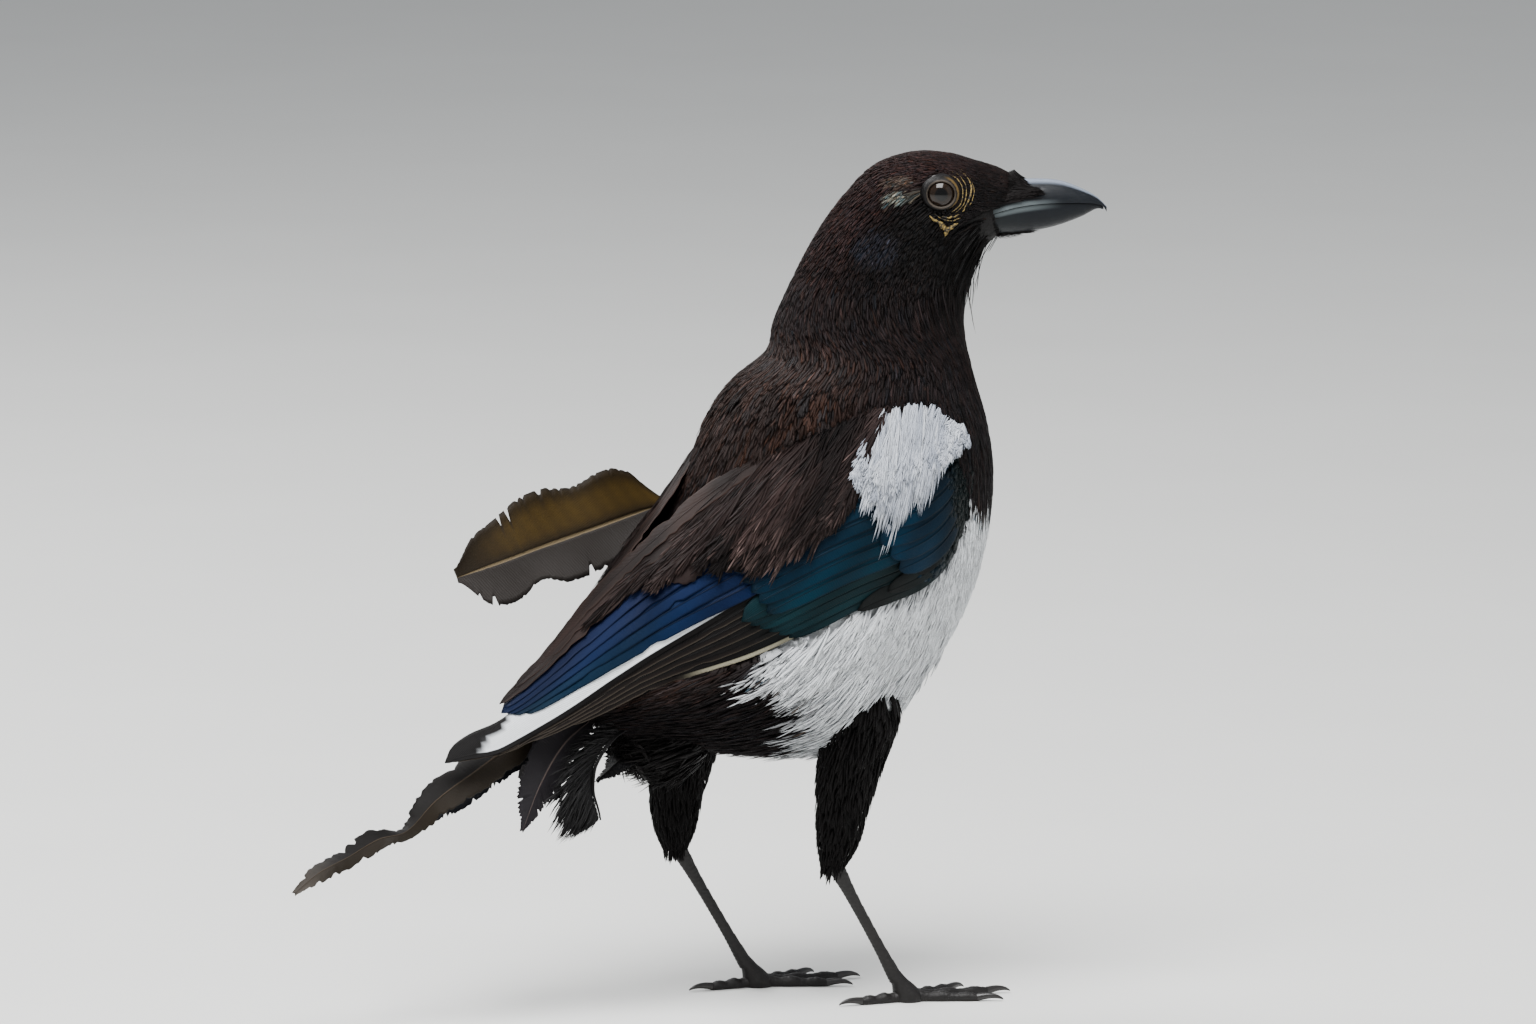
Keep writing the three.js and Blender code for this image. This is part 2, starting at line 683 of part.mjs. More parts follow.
const nostrilPits = [-1, 1].map((side) => solidOfShape(
  new THREE.SphereGeometry(nostril.radius, pitSides, pitRows).translate(nostril.x, nostril.y, nostril.z),
  side,
));
addNode('bill_upper', whole(wasm.Manifold.difference([upperBill, ...nostrilPits])), paint.bill);
addNode('bill_lower', lowerBill, paint.bill);

for (const [name, side] of [['right', -1], ['left', 1]]) {
  const eyeball = atEye(new THREE.SphereGeometry(eyeRadius, ballSides, ballRows));
  addNode(`eye_${name}`, solidOfShape(eyeball, side), paint.eye);
}

// Wings.
addNode('wing_right', fuse(wingSolids(-1)), paint.wing);
addNode('wing_left', fuse([...wingSolids(1), feather(looseFeather)]), paint.wing);

// Scapulars: stacked feathers that lie on the wing near the shoulder, on a root of their own.
function scapulars(side, { corners, tips, floor }) {
  const [a, b, c, d] = corners.map((corner) => new THREE.Vector2(...corner));
  const spotAt = (u, x) => b.clone().lerp(a, x).lerp(d.clone().lerp(c, x), u);
  const floorAt = (u) => THREE.MathUtils.lerp(...floor, u);
  const vanes = tips.map((tip, k) => plate(scapularOutline, [-1, 1], ([u, share], v, face) => {
    const place = k + 1 + v * share;
    const spot = spotAt(u * tip, place / (tips.length + 1));
    const height = floorAt(u) + stacked(k, place);
    return settled(wingPoint(spot.x, spot.y, height + face * vaneThickness), side);
  }));
  const xs = spread(scapularRoot.steps, scapularRoot.from, scapularRoot.to);
  const root = plate([0, scapularRoot.share], xs, (u, x, face) => {
    const spot = spotAt(u, x);
    const low = coreHeight(spot.x) + touchGap;
    const high = floorAt(u) + scapularRoot.height * vaneStep;
    return settled(wingPoint(spot.x, spot.y, face ? high : low), side);
  });
  return fuse([root, ...vanes]);
}

const looseSpace = feather(looseFeather, touchGap);
for (const [name, side] of [['right', -1], ['left', 1]]) {
  for (const [shade, patch] of Object.entries(scapularPatches)) {
    const solid = whole(wasm.Manifold.difference([scapulars(side, patch), grownTorso, looseSpace]));
    addNode(`scapulars_${shade}_${name}`, solid, paint[patch.paint]);
  }
}

// Under the tail: a downy pad under the vent with its hanging feathers.
const ventShape = new THREE.SphereGeometry(1, ballSides, ballRows)
  .scale(...ventPad.half)
  .translate(...ventPad.middle);
const underTail = fuse([solidOfShape(ventShape), ...underTailFeathers.map((plan) => feather(plan))]);
addNode('undertail_coverts', whole(underTail.subtract(grownTorso)), paint.back);

// Tail: a root that carries on from the torso, with the feathers set in it.
const tailRoot = skin(tailRootShares.map((share, k) => {
  const shift = at(tailWay).setLength(touchGap + k * tailRootStep);
  return bodyRing(0).filter((_, n) => n % 2 === 0).map((point) => (
    point.sub(at(tailBase)).multiplyScalar(share).add(at(tailBase)).add(shift)
  ));
}));
const tailSolid = fuse([tailRoot, ...tailFeathers.map((plan) => feather(plan))]);
addNode('tail', whole(tailSolid.subtract(grownTorso)), paint.tail);

// Legs: a feathered thigh, a scaled tarsus, a foot with its toes, and four claws.
function levelRing(centre, halfX, halfY, sides) {
  return range(sides).map((k) => {
    const angle = (2 * Math.PI * k) / sides;
    return centre.clone().add(at([halfX * Math.cos(angle), halfY * Math.sin(angle), 0]));
  });
}

function thighSolid(thigh, y) {
  const x = run(thigh.map((spot) => spot[0]));
  const z = run(thigh.map((spot) => spot[1]));
  const half = run(thighHalf);
  return skin(spread(thighSteps, 0, 1).map((u) => (
    levelRing(at([x(u), y, z(u)]), half(u), half(u) * thighFlatness, thighSides)
  )));
}

function tarsusSolid(ankle, hubTop) {
  const half = run(tarsusHalf);
  const rise = ankle.z - hubTop.z;
  const gapShare = touchGap / rise;
  return skin(spread(tarsusSteps, gapShare, 1 - gapShare).map((u) => (
    levelRing(ankle.clone().lerp(hubTop, u), half(u), half(u) * thighFlatness, tarsusSides)
  )));
}

// A ring across a toe or claw: half the width, the height, and how far it is lifted off the ground.
function toeRing(start, { turn, side }, distance, half, high, lift) {
  const angle = THREE.MathUtils.degToRad(turn);
  const along = at([Math.cos(angle), Math.sin(angle) * side, 0]);
  const across = at([-Math.sin(angle) * side, Math.cos(angle), 0]);
  return range(toeSides).map((k) => {
    const round = (2 * Math.PI * k) / toeSides;
    const point = start.clone().addScaledVector(along, distance);
    const rise = toeWidest + (1 - toeWidest) * Math.sin(round);
    return point.addScaledVector(across, half * Math.cos(round)).setZ(lift + high * Math.max(0, rise));
  });
}

function toeSolid(start, toe) {
  return skin(spread(toeSteps, 0, 1).map((u) => {
    const pad = 1 - toePadDepth * Math.cos(u * 2 * toePads * Math.PI);
    const size = (1 - toeTaper * u) * pad;
    return toeRing(start, toe, toe.length * u, toe.half * size, toeHeight * size, 0);
  }));
}

function clawSolid(start, toe) {
  return skin(spread(clawSteps, 0, 1).map((u) => {
    const distance = toe.length + touchGap + clawLength * Math.sin(clawBend * u);
    const half = clawWide * (1 - u) + clawEnd;
    const high = clawHigh * (1 - u) ** clawTaper + 2 * clawEnd;
    const lift = clawArch * Math.sin(clawArchSpan * Math.PI * u) * (1 - clawArchFade * u);
    return toeRing(start, toe, distance, half, high, lift);
  }));
}

function legPieces({ side, thigh, foot }) {
  const y = legSpread * side;
  const ankle = at([thigh.at(-1)[0], y, thigh.at(-1)[1]]);
  const hubTop = at([foot + hubRings.at(-1)[2], y, footHeight]);
  const hub = skin(hubRings.map(([z, half, x]) => levelRing(at([foot + x, y, z]), half, half, hubSides)));
  const start = at([foot + toeStart, y, 0]);
  const placed = toes.map((toe) => ({ ...toe, side }));
  return {
    upper: thighSolid(thigh, y),
    tarsus: tarsusSolid(ankle, hubTop),
    foot: fuse([hub, ...placed.map((toe) => toeSolid(start, toe))]),
    claws: placed.map((toe) => clawSolid(start, toe)),
  };
}

for (const [name, leg] of Object.entries(legs)) {
  const pieces = legPieces(leg);
  addNode(`thigh_${name}`, whole(pieces.upper.subtract(grownTorso)), paint.leg);
  addNode(`tarsus_${name}`, pieces.tarsus, paint.leg);
  addNode(`foot_${name}`, pieces.foot, paint.leg);
  pieces.claws.forEach((claw, k) => addNode(`claw_${name}_${k + 1}`, claw, paint.bill));
}

// The origin is moved to the middle of the bird's box, on the ground.
const box = new THREE.Box3().setFromObject(bird);
const middle = box.getCenter(new THREE.Vector3());
bird.position.set(-middle.x, -middle.y, -box.min.z);

export default bird;
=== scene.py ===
import json
import math

import bpy
import numpy as np
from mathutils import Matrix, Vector
from mathutils.bvhtree import BVHTree
from mathutils.kdtree import KDTree


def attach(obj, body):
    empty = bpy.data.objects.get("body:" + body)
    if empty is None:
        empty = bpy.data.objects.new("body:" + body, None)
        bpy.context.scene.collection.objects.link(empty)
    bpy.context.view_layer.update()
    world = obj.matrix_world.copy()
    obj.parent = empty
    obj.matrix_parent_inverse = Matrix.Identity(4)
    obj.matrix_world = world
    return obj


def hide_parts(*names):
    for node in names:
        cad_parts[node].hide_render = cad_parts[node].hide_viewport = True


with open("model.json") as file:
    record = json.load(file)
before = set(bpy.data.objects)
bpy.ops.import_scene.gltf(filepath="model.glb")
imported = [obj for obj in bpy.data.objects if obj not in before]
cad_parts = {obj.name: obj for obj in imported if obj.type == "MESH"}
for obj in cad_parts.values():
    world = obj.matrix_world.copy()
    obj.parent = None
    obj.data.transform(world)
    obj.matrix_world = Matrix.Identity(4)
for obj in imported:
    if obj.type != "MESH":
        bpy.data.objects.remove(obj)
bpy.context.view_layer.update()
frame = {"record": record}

# The stand and the view. The bird stands on a plain pale floor in soft light. Measures are in
# millimetres from the ground midway between its feet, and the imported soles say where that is.
SOLE_AHEAD = 2.0
soles = {mount["name"]: mount["pos_m"] for mount in frame["record"]["mounts"]}
stand = np.array([(soles["sole_right"][0] + soles["sole_left"][0]) / 2 - SOLE_AHEAD / 1000, 0, 0])


def metres(points):
    return np.asarray(points, float) / 1000 + stand


class Wire:
    """A socket of a material, so that patterns are written as sums."""

    def __init__(self, socket):
        self.socket = socket

    @classmethod
    def of(cls, tree, kind, settings=None, inputs=None, output=0):
        node = tree.nodes.new(kind)
        for name, value in (settings or {}).items():
            setattr(node, name, value)
        for key, value in (inputs or {}).items():
            if isinstance(value, Wire):
                tree.links.new(value.socket, node.inputs[key])
            else:
                node.inputs[key].default_value = value
        return cls(node.outputs[output])

    def worked(self, kind, operation, inputs, output=0):
        settings = {"operation": operation}
        return Wire.of(self.socket.id_data, kind, settings, dict(enumerate(inputs)), output)

    def sum(self, operation, *others):
        return self.worked("ShaderNodeMath", operation, (self, *others))

    def vector(self, operation, *others, output=0):
        return self.worked("ShaderNodeVectorMath", operation, (self, *others), output)

    def __add__(self, other):
        return self.sum("ADD", other)

    def __sub__(self, other):
        return self.sum("SUBTRACT", other)

    def __rsub__(self, other):
        return self.worked("ShaderNodeMath", "SUBTRACT", (other, self))

    def __mul__(self, other):
        return self.sum("MULTIPLY", other)

    __radd__ = __add__
    __rmul__ = __mul__

    def between(self, low, high):
        """Nought below the one, one above the other, and smooth between them."""
        return Wire.of(
            self.socket.id_data, "ShaderNodeMapRange", {"interpolation_type": "SMOOTHSTEP"},
            {"Value": self, "From Min": low, "From Max": high},
        )


def new_material(name, **fixed):
    """A material, its node tree and its shader, with the shader's fixed values set."""
    material = bpy.data.materials.new(name)
    material.use_nodes = True
    shader = material.node_tree.nodes["Principled BSDF"]
    for socket, value in fixed.items():
        shader.inputs[socket.replace("_", " ")].default_value = value
    return material, material.node_tree, shader


def feed(shader, **wires):
    for socket, wire in wires.items():
        shader.id_data.links.new(wire.socket, shader.inputs[socket.replace("_", " ")])


def noise(where, scale, detail=3.0, rough=0.55, stretch=(1, 1, 1)):
    """Noise from 0 to 1 on the given coordinates."""
    placed = where.vector("MULTIPLY", stretch)
    inputs = {"Vector": placed, "Scale": scale, "Detail": detail, "Roughness": rough}
    return Wire.of(where.socket.id_data, "ShaderNodeTexNoise", None, inputs)


def blend(tree, share, low, high, how="MIX"):
    """A colour between two colours, or one times the other."""
    low, high = (tone if isinstance(tone, Wire) else (*tone, 1) for tone in (low, high))
    settings = {"data_type": "RGBA", "blend_type": how}
    return Wire.of(tree, "ShaderNodeMix", settings, {0: share, 6: low, 7: high}, output=2)


def bump(height, distance, strength=1.0):
    inputs = {"Height": height, "Distance": distance, "Strength": strength}
    return Wire.of(height.socket.id_data, "ShaderNodeBump", None, inputs)


def object_place(tree):
    return Wire.of(tree, "ShaderNodeTexCoord", output=3)


bpy.ops.object.select_all(action="DESELECT")
bpy.ops.mesh.primitive_plane_add(size=24, location=(0, 0, 0))
floor = bpy.context.object
floor.name = "floor"
floor_paint, tree, shader = new_material("floor_paint", Specular_IOR_Level=0.2)
mottle = noise(object_place(tree), 9, 2)
feed(
    shader,
    Base_Color=blend(tree, mottle, (0.72, 0.72, 0.7), (0.76, 0.76, 0.74)),
    Roughness=0.8 + 0.1 * mottle,
)
floor.data.materials.append(floor_paint)

PICTURE_MIDDLE = (-6.7, 26.0, 143.2)
TOWARDS_CAMERA = Vector((-0.4496, -0.8824, 0.1392)).normalized()
CAMERA_DISTANCE, CAMERA_REACH = 5, 60
SENSOR, LENS = 36, 390.6
LAMPS = (
    ("key_light", (-0.55, -0.7, 1.7), 1.5, 1.0, 58),
    ("fill_light", (1.3, -1.3, 0.5), 2.2, 2.2, 7),
    ("rim_light", (-0.5, 1.5, 1.5), 1.7, 1.0, 26),
)
SKY, SKY_STRENGTH = (0.86, 0.9, 0.95, 1), 0.42
target = Vector(metres(PICTURE_MIDDLE))
bpy.ops.object.camera_add(
    location=target + TOWARDS_CAMERA * CAMERA_DISTANCE,
    rotation=TOWARDS_CAMERA.to_track_quat("Z", "Y").to_euler(),
)
camera = bpy.context.object
camera.data.sensor_width = SENSOR
camera.data.lens = LENS
camera.data.clip_end = CAMERA_REACH
bpy.context.scene.camera = camera
for name, way, distance, size, power in LAMPS:
    way = Vector(way).normalized()
    bpy.ops.object.light_add(
        type="AREA", location=target + way * distance, rotation=way.to_track_quat("Z", "Y").to_euler()
    )
    lamp = bpy.context.object
    lamp.name = name
    lamp.data.size = size
    lamp.data.energy = power
world = bpy.context.scene.world or bpy.data.worlds.new("studio")
bpy.context.scene.world = world
world.use_nodes = True
world.node_tree.nodes["Background"].inputs["Color"].default_value = SKY
world.node_tree.nodes["Background"].inputs["Strength"].default_value = SKY_STRENGTH

# The skin. One closed skin runs from the tail's root to the face and down both thighs, without a
# seam. It lies under the plumage by the coat's depth, and bears the same marks as the plumage.

# Rings from the tail to the face: the top's x and z, the underside's x and z, and half the width.
BODY_RINGS = [
    (-89, 94, -77, 87, 8), (-82, 101, -56, 81.5, 16), (-76, 109, -27, 75.5, 25), (-69, 118, 4, 77, 32),
    (-61, 128.5, 27, 95, 36), (-53, 140, 41, 115, 38), (-46, 151, 48.5, 136, 38.5),
    (-41, 163.5, 50.8, 156, 38), (-35.5, 176, 49, 171, 35.5), (-28.5, 186, 46, 183, 31),
    (-17, 194, 43.5, 193.5, 27.2), (-14.5, 202.5, 42.5, 202.5, 24.5), (-10, 212.5, 43.3, 210.7, 22),
    (-5.2, 222.5, 44.5, 215, 20), (0.3, 232, 46, 218.5, 18.3), (7, 241, 48, 221.5, 17.2),
    (15.5, 249.5, 50, 223.8, 16.8), (27, 253.6, 51.5, 225.4, 16), (38, 253.3, 53, 226.6, 14.4),
    (46.5, 251, 54.5, 227.3, 12), (53, 249.6, 56, 227.8, 10), (58, 248, 57.5, 228.2, 8.8),
]
LAST_RING = len(BODY_RINGS) - 1
NECK_AXIS = 18.0
NECK_TWIST = (186.0, 216.0)
HEAD_TURN = math.radians(-27)
ROUND = 2 * np.pi


def run_between(b, c, start, end, share):
    """A bend from one value to the next, with its slope at either end."""
    bend = (2 * b - 2 * c + start + end) * share + (3 * c - 3 * b - 2 * start - end)
    return (bend * share + start) * share + b


def smooth_run(values, place):
    """A smooth run through rows of numbers, read at 0 to 1."""
    rows = np.asarray(values, float)
    last = len(rows) - 1
    spot = np.clip(np.asarray(place, float), 0, 1) * last
    low = np.minimum(spot.astype(int), last - 1)
    share = spot - low
    a, b, c, d = (rows[np.clip(low + k, 0, last)] for k in (-1, 0, 1, 2))
    if rows.ndim > 1:
        share = share[..., None]
    return run_between(b, c, (c - a) / 2, (d - b) / 2, share)


def smooth_step(values, low, high):
    share = np.clip((np.asarray(values, float) - low) / (high - low), 0, 1)
    return share * share * (3 - 2 * share)


def spread(*rows):
    """Numbers and rows of numbers, brought to one shape."""
    return np.broadcast_arrays(*(np.asarray(row, float) for row in rows))


def unit(ways):
    return ways / np.linalg.norm(ways, axis=-1)[..., None]


def head_turned(points):
    """Where the twist of the neck carries points of a bird that looks straight ahead."""
    points = np.asarray(points, float)
    angle = HEAD_TURN * smooth_step(points[..., 2], *NECK_TWIST)
    x, y = points[..., 0] - NECK_AXIS, points[..., 1]
    cos, sin = np.cos(angle), np.sin(angle)
    return np.stack([NECK_AXIS + x * cos - y * sin, x * sin + y * cos, points[..., 2]], -1)


def straight_trunk(step, angle, proud=0.0):
    step, angle, proud = spread(step, angle, proud)
    ring = smooth_run(BODY_RINGS, step / LAST_RING)
    middle = (ring[..., 0:2] + ring[..., 2:4]) / 2
    arm = (ring[..., 0:2] - ring[..., 2:4]) / 2
    reach = np.linalg.norm(arm, axis=-1)
    arm = arm * ((reach + proud) / reach)[..., None]
    x, z = np.moveaxis(middle + arm * np.sin(angle)[..., None], -1, 0)
    return np.stack([x, (ring[..., 4] + proud) * np.cos(angle), z], -1)


def trunk(step, angle, proud=0.0):
    """The plumage's face on the body: a ring step from the tail, and an angle from the left side."""
    return head_turned(straight_trunk(step, angle, proud))


# The left wing's sheet: its lower and its upper edge from the wrist to the tip, and its bulge.
WING_LOW = [
    (34, 27, 153), (17, 33, 131), (-6, 34, 123), (-38, 27, 109), (-65, 19, 101), (-100, 11, 88),
    (-131, 9, 77),
]
WING_HIGH = [
    (25, 26, 177), (2, 30, 180), (-23, 24, 170), (-46, 13, 149), (-70, 6, 128), (-98.5, 2.5, 102.5),
    (-128, 4, 83),
]
WING_BULGE = [2.5, 6, 9, 8, 5, 1.5, 0.3]


def bent_line(corners, place):
    """A curve through points in space, even in its bends, read at 0 to 1."""
    corners = np.asarray(corners, float)
    last = len(corners) - 1
    padded = np.vstack([2 * corners[:1] - corners[1:2], corners, 2 * corners[-1:] - corners[-2:-1]])
    spot = np.clip(np.asarray(place, float), 0, 1) * last
    low = np.minimum(spot.astype(int), last - 1)
    share = (spot - low)[..., None]
    a, b, c, d = (padded[low + k] for k in range(4))
    gaps = ((a, b), (b, c), (c, d))
    one, two, three = (np.sqrt(np.linalg.norm(q - p, axis=-1))[..., None] for p, q in gaps)
    start = ((b - a) / one - (c - a) / (one + two) + (c - b) / two) * two
    end = ((c - b) / two - (d - b) / (two + three) + (d - c) / three) * two
    return run_between(b, c, start, end, share)


def wing_sheet(s, t):
    """A point of the left wing's sheet; past either end it runs straight on."""
    s, t = spread(s, t)
    held = np.clip(s, 0, 1)
    before, after = np.maximum(held - 1e-3, 0), np.minimum(held + 1e-3, 1)
    low = bent_line(WING_LOW, held)
    chord = bent_line(WING_HIGH, held) - low
    along = (bent_line(WING_LOW, after) - bent_line(WING_LOW, before)) / (after - before)[..., None]
    bulge = smooth_run(WING_BULGE, held) * 4 * t * (1 - t)
    out = unit(np.cross(along, chord))
    return low + chord * t[..., None] + out * bulge[..., None] + along * (s - held)[..., None]


def wing_chord(s):
    return np.linalg.norm(bent_line(WING_HIGH, s) - bent_line(WING_LOW, s), axis=-1)


def wing_out(s, t, reach=0.01):
    """The way that the outer face of the left wing faces."""
    along = wing_sheet(s + reach, t) - wing_sheet(s - reach, t)
    return unit(np.cross(along, wing_sheet(s, t + reach) - wing_sheet(s, t - reach)))


# The tip of the left wing is drawn in behind the right one: how far, and between which places.
DRAWN_IN, DRAWN_SPAN = np.array([9, -1, -1.5]), (45, 130)


def wing_face(side):
    """A wing's face: a share of its length, a share of its depth, and a height over it."""

    def face(s, t, height=0.0):
        s, t, height = spread(s, t, height)
        points = wing_sheet(s, t) + wing_out(s, t) * height[..., None]
        drawn = smooth_step(-points[..., :1], *DRAWN_SPAN) * (side > 0)
        return (points + DRAWN_IN * drawn) * (1, side, 1)

    return face


# The thighs: their side, and the middle's x and z from the flank down to the bare shank.
THIGHS = {
    "right": (-1, [(4, 102), (1, 87), (-3.5, 73), (-6, 61), (-7.7, 49.5), (-9.5, 42)]),
    "left": (1, [(-26, 102), (-32, 87), (-37, 73), (-39.5, 61), (-40, 50.5), (-40, 43.5)]),
}
THIGH_HALF = [5, 10.6, 9.8, 8, 6.2, 3.4]
THIGH_FLATNESS = 0.82
LEG_SPREAD = 22.0


def thigh_face(name):
    side, middle = THIGHS[name]

    def face(u, angle, proud=0.0):
        u, angle, proud = spread(u, angle, proud)
        past = np.maximum(u - 1, 0)
        spot = smooth_run(middle, u) + (np.array(middle[-1]) - middle[-2]) * 5 * past[..., None]
        half = smooth_run(THIGH_HALF, u) * (1 - 0.35 * smooth_step(past, 0, 0.2))
        x = spot[..., 0] + (half + proud) * np.cos(angle)
        y = LEG_SPREAD * side + (half * THIGH_FLATNESS + proud) * np.sin(angle)
        return np.stack([x, y, spot[..., 1]], -1)

    return face


VENT_MIDDLE, VENT_HALF = np.array([-53, 0, 81.0]), (14, 11, 9.5)


def vent_face(u, angle, proud=0.0):
    """The downy pad under the tail, read from its front end to its rear end."""
    u, angle, proud = spread(u, angle, proud)
    turn = np.pi * u
    ways = [np.cos(turn), np.sin(turn) * np.cos(angle), np.sin(turn) * np.sin(angle)]
    return VENT_MIDDLE + np.stack([way * (size + proud) for way, size in zip(ways, VENT_HALF)], -1)


def srgb(red, green, blue):
    """A colour as it is read off a screen, made linear."""
    share = np.array([red, green, blue], float) / 255
    return np.where(share <= 0.04045, share / 12.92, ((share + 0.055) / 1.055) ** 2.4)


BLACK, CROWN, NECK, BREAST = srgb(10, 8, 8), srgb(35, 22, 21), srgb(25, 18, 18), srgb(20, 15, 16)
MANTLE, WHITE = srgb(40, 29, 26), srgb(222, 225, 228)
# Where the colours change, in steps of the body's rings, and the white's upper edge in millimetres.
NECK_STEPS, MANTLE_STEPS, HOOD_STEPS, CROWN_STEPS = (8, 11), (9.5, 12), (11, 15), (17.5, 19.5)
VENT_STEP, WHITE_TOP = 2.9, 156.0
# Marks on the face: a dark patch before the eye, a pale grey patch and a brown streak behind it, and a
# painted bluish-grey sheen on the cheek; their middle and half sizes, ahead and up, and their colour.
FACE_MARKS_AND_SHEEN = [
    ((48.5, 239.0), (9.0, 9.0), srgb(13, 10, 10)),
    ((25.8, 243.7), (5.6, 1.8), srgb(96, 98, 92)),
    ((26.2, 247.4), (6.2, 1.9), srgb(64, 55, 49)),
    ((18.5, 230.0), (9.0, 6.0), srgb(27, 26, 31)),
]


def mixed(one, other, share):
    return one + (other - one) * np.asarray(share)[..., None]


def plumage(points, step, angle):
    """The coat's colour on the body, from the place as if the bird looked straight ahead."""
    x, y, z = np.moveaxis(points, -1, 0)
    rise = np.sin(angle)
    hood = smooth_step(step, *HOOD_STEPS)
    tone = mixed(mixed(BREAST, NECK, smooth_step(step, *NECK_STEPS)), BLACK, hood)
    # The crown's warm brown is partly the feathers' own colour and partly painted sheen from the light
    # above: it lies on top of the head, with less of it towards the forehead.
    crown = hood * smooth_step(rise, 0.2, 0.75) * (1 - 0.6 * smooth_step(step, *CROWN_STEPS))
    tone = mixed(tone, CROWN, crown)
    for middle, half, mark in FACE_MARKS_AND_SHEEN:
        gap = np.hypot((x - middle[0]) / half[0], (z - middle[1]) / half[1])
        tone = mixed(tone, mark, (1 - smooth_step(gap, 0.45, 1.1)) * (np.abs(y) > 6))
    tone = mixed(tone, MANTLE, smooth_step(rise, 0.1, 0.6) * (1 - smooth_step(step, *MANTLE_STEPS)))
    wave = 1.6 * np.sin(y * 0.7) + 1.1 * np.sin(y * 1.9 + x)
    white = 1 - smooth_step(z + wave, WHITE_TOP - 1.5, WHITE_TOP + 1.5)
    white = white * (1 - smooth_step(rise, 0.25, 0.4))
    rear = VENT_STEP + 0.75 * smooth_step(rise, -0.95, -0.1)
    return mixed(tone, WHITE, white * smooth_step(step, rear - 0.25, rear + 0.25))


def bands(index):
    """Faces between the rows of a closed tube's corners."""
    after = np.roll(index, -1, 1)
    return np.stack([index[:-1], after[:-1], after[1:], index[1:]], -1).reshape(-1, 4).tolist()


def loft(face, firsts, sides, proud):
    """Points and faces of a closed skin over the rings of a face."""
    angles = np.linspace(0, ROUND, sides, endpoint=False)
    rings = face(firsts[:, None], angles[None, :], np.reshape(proud, (-1, 1)))
    corners = len(firsts) * sides
    points = np.vstack([rings.reshape(-1, 3), rings[:1].mean(1), rings[-1:].mean(1)])
    index = np.arange(corners).reshape(-1, sides)
    front, rear = index[0], index[-1]
    ends = [(corners, b, a) for a, b in zip(front, np.roll(front, -1))]
    ends += [(corners + 1, a, b) for a, b in zip(rear, np.roll(rear, -1))]
    return points, bands(index) + ends


def tree_of(points):
    tree = KDTree(len(points))
    for number, point in enumerate(points):
        tree.insert(point, number)
    tree.balance()
    return tree


def grid(firsts, seconds):
    return [rows.ravel() for rows in np.meshgrid(firsts, seconds, indexing="ij")]


PRESS_DEPTH, PRESS_MOST = 2.2, 14
sheet_s, sheet_t = grid(np.linspace(0, 1, 90), np.linspace(0, 1, 40))
sheet_points, sheet_outs = wing_sheet(sheet_s, sheet_t), wing_out(sheet_s, sheet_t)
sheet_tree = tree_of(sheet_points)


def mirror_of(points):
    """What carries points of the right side over to the left."""
    return np.where(points[:, 1:2] < 0, (1, -1, 1), (1, 1, 1))


def under_wing(points):
    """How far points lie outside a wing's sheet, with the sheet's place and way out there."""
    folded = points * mirror_of(points)
    nearest = np.array([sheet_tree.find(point)[1] for point in folded])
    off = ((folded - sheet_points[nearest]) * sheet_outs[nearest]).sum(1)
    return off, sheet_s[nearest], sheet_t[nearest], sheet_outs[nearest]


def pressed(points, depth=PRESS_DEPTH, front=0.005):
    """Points of the flanks, pressed in under the folded wings."""
    off, s, t, outs = under_wing(points)
    inside = (s > front) & (s < 0.995) & (t > 0.01) & (t < 0.98)
    push = np.where(inside, np.clip(off + depth, 0, PRESS_MOST), 0)
    return points - outs * mirror_of(points) * push[:, None]


def chosen(piece):
    bpy.ops.object.select_all(action="DESELECT")
    piece.select_set(True)
    bpy.context.view_layer.objects.active = piece


def linked(name, mesh):
    piece = bpy.data.objects.new(name, mesh)
    bpy.context.collection.objects.link(piece)
    return piece


def new_piece(name, parts):
    """A piece from closed parts, each with its points in metres and its faces."""
    faces, start = [], 0
    for points, corners in parts:
        faces += [[corner + start for corner in face] for face in corners]
        start += len(points)
    mesh = bpy.data.meshes.new(name)
    mesh.from_pydata(np.vstack([points for points, _ in parts]).tolist(), [], faces)
    return linked(name, mesh)


def finished_with(piece, kind, **settings):
    """Give a piece one modifier, and apply it."""
    chosen(piece)
    modifier = piece.modifiers.new(kind.lower(), kind)
    for name, value in settings.items():
        setattr(modifier, name, value)
    bpy.ops.object.modifier_apply(modifier=modifier.name)


def painted(mesh, tones):
    """Lay the coat's colours on a mesh; the fourth number is its gloss."""
    layer = mesh.color_attributes.new(name="Plumage", type="FLOAT_COLOR", domain="POINT")
    layer.data.foreach_set("color", tones.astype(np.float32).ravel())


def fitted(piece, material, slot, *nodes):
    """Give a piece its material; it rides with the bird and takes its nodes' place. The slot is not used.
    """
    piece.data.materials.append(material)
    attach(piece, "root")
    if nodes:
        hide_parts(*nodes)


COAT_DEPTH = [1.8, 1.8, 1.6, 1.3, 1.3, 1.5, 1.5, 1.5]
FACE_STEPS, FACE_DEPTH = (18.3, 19.9), 4.2
SKIN_CELL = 0.0013
skin_steps = np.linspace(0, FACE_STEPS[1], 130)
skin_inset = smooth_run(COAT_DEPTH, skin_steps / LAST_RING)
skin_inset = skin_inset + FACE_DEPTH * smooth_step(skin_steps, *FACE_STEPS)
body_points, body_faces = loft(trunk, skin_steps, 72, -skin_inset)
skin_parts = [(pressed(body_points), body_faces)]
skin_parts += [loft(thigh_face(name), np.linspace(0.02, 1, 24), 28, -1.2) for name in THIGHS]
skin_parts += [loft(vent_face, np.linspace(0.02, 0.98, 20), 24, -2.5)]
skin = new_piece("skin", [(metres(points), faces) for points, faces in skin_parts])
finished_with(skin, "REMESH", mode="VOXEL", voxel_size=SKIN_CELL, adaptivity=0)
finished_with(skin, "SMOOTH", factor=0.5, iterations=5)
bpy.ops.object.shade_smooth()

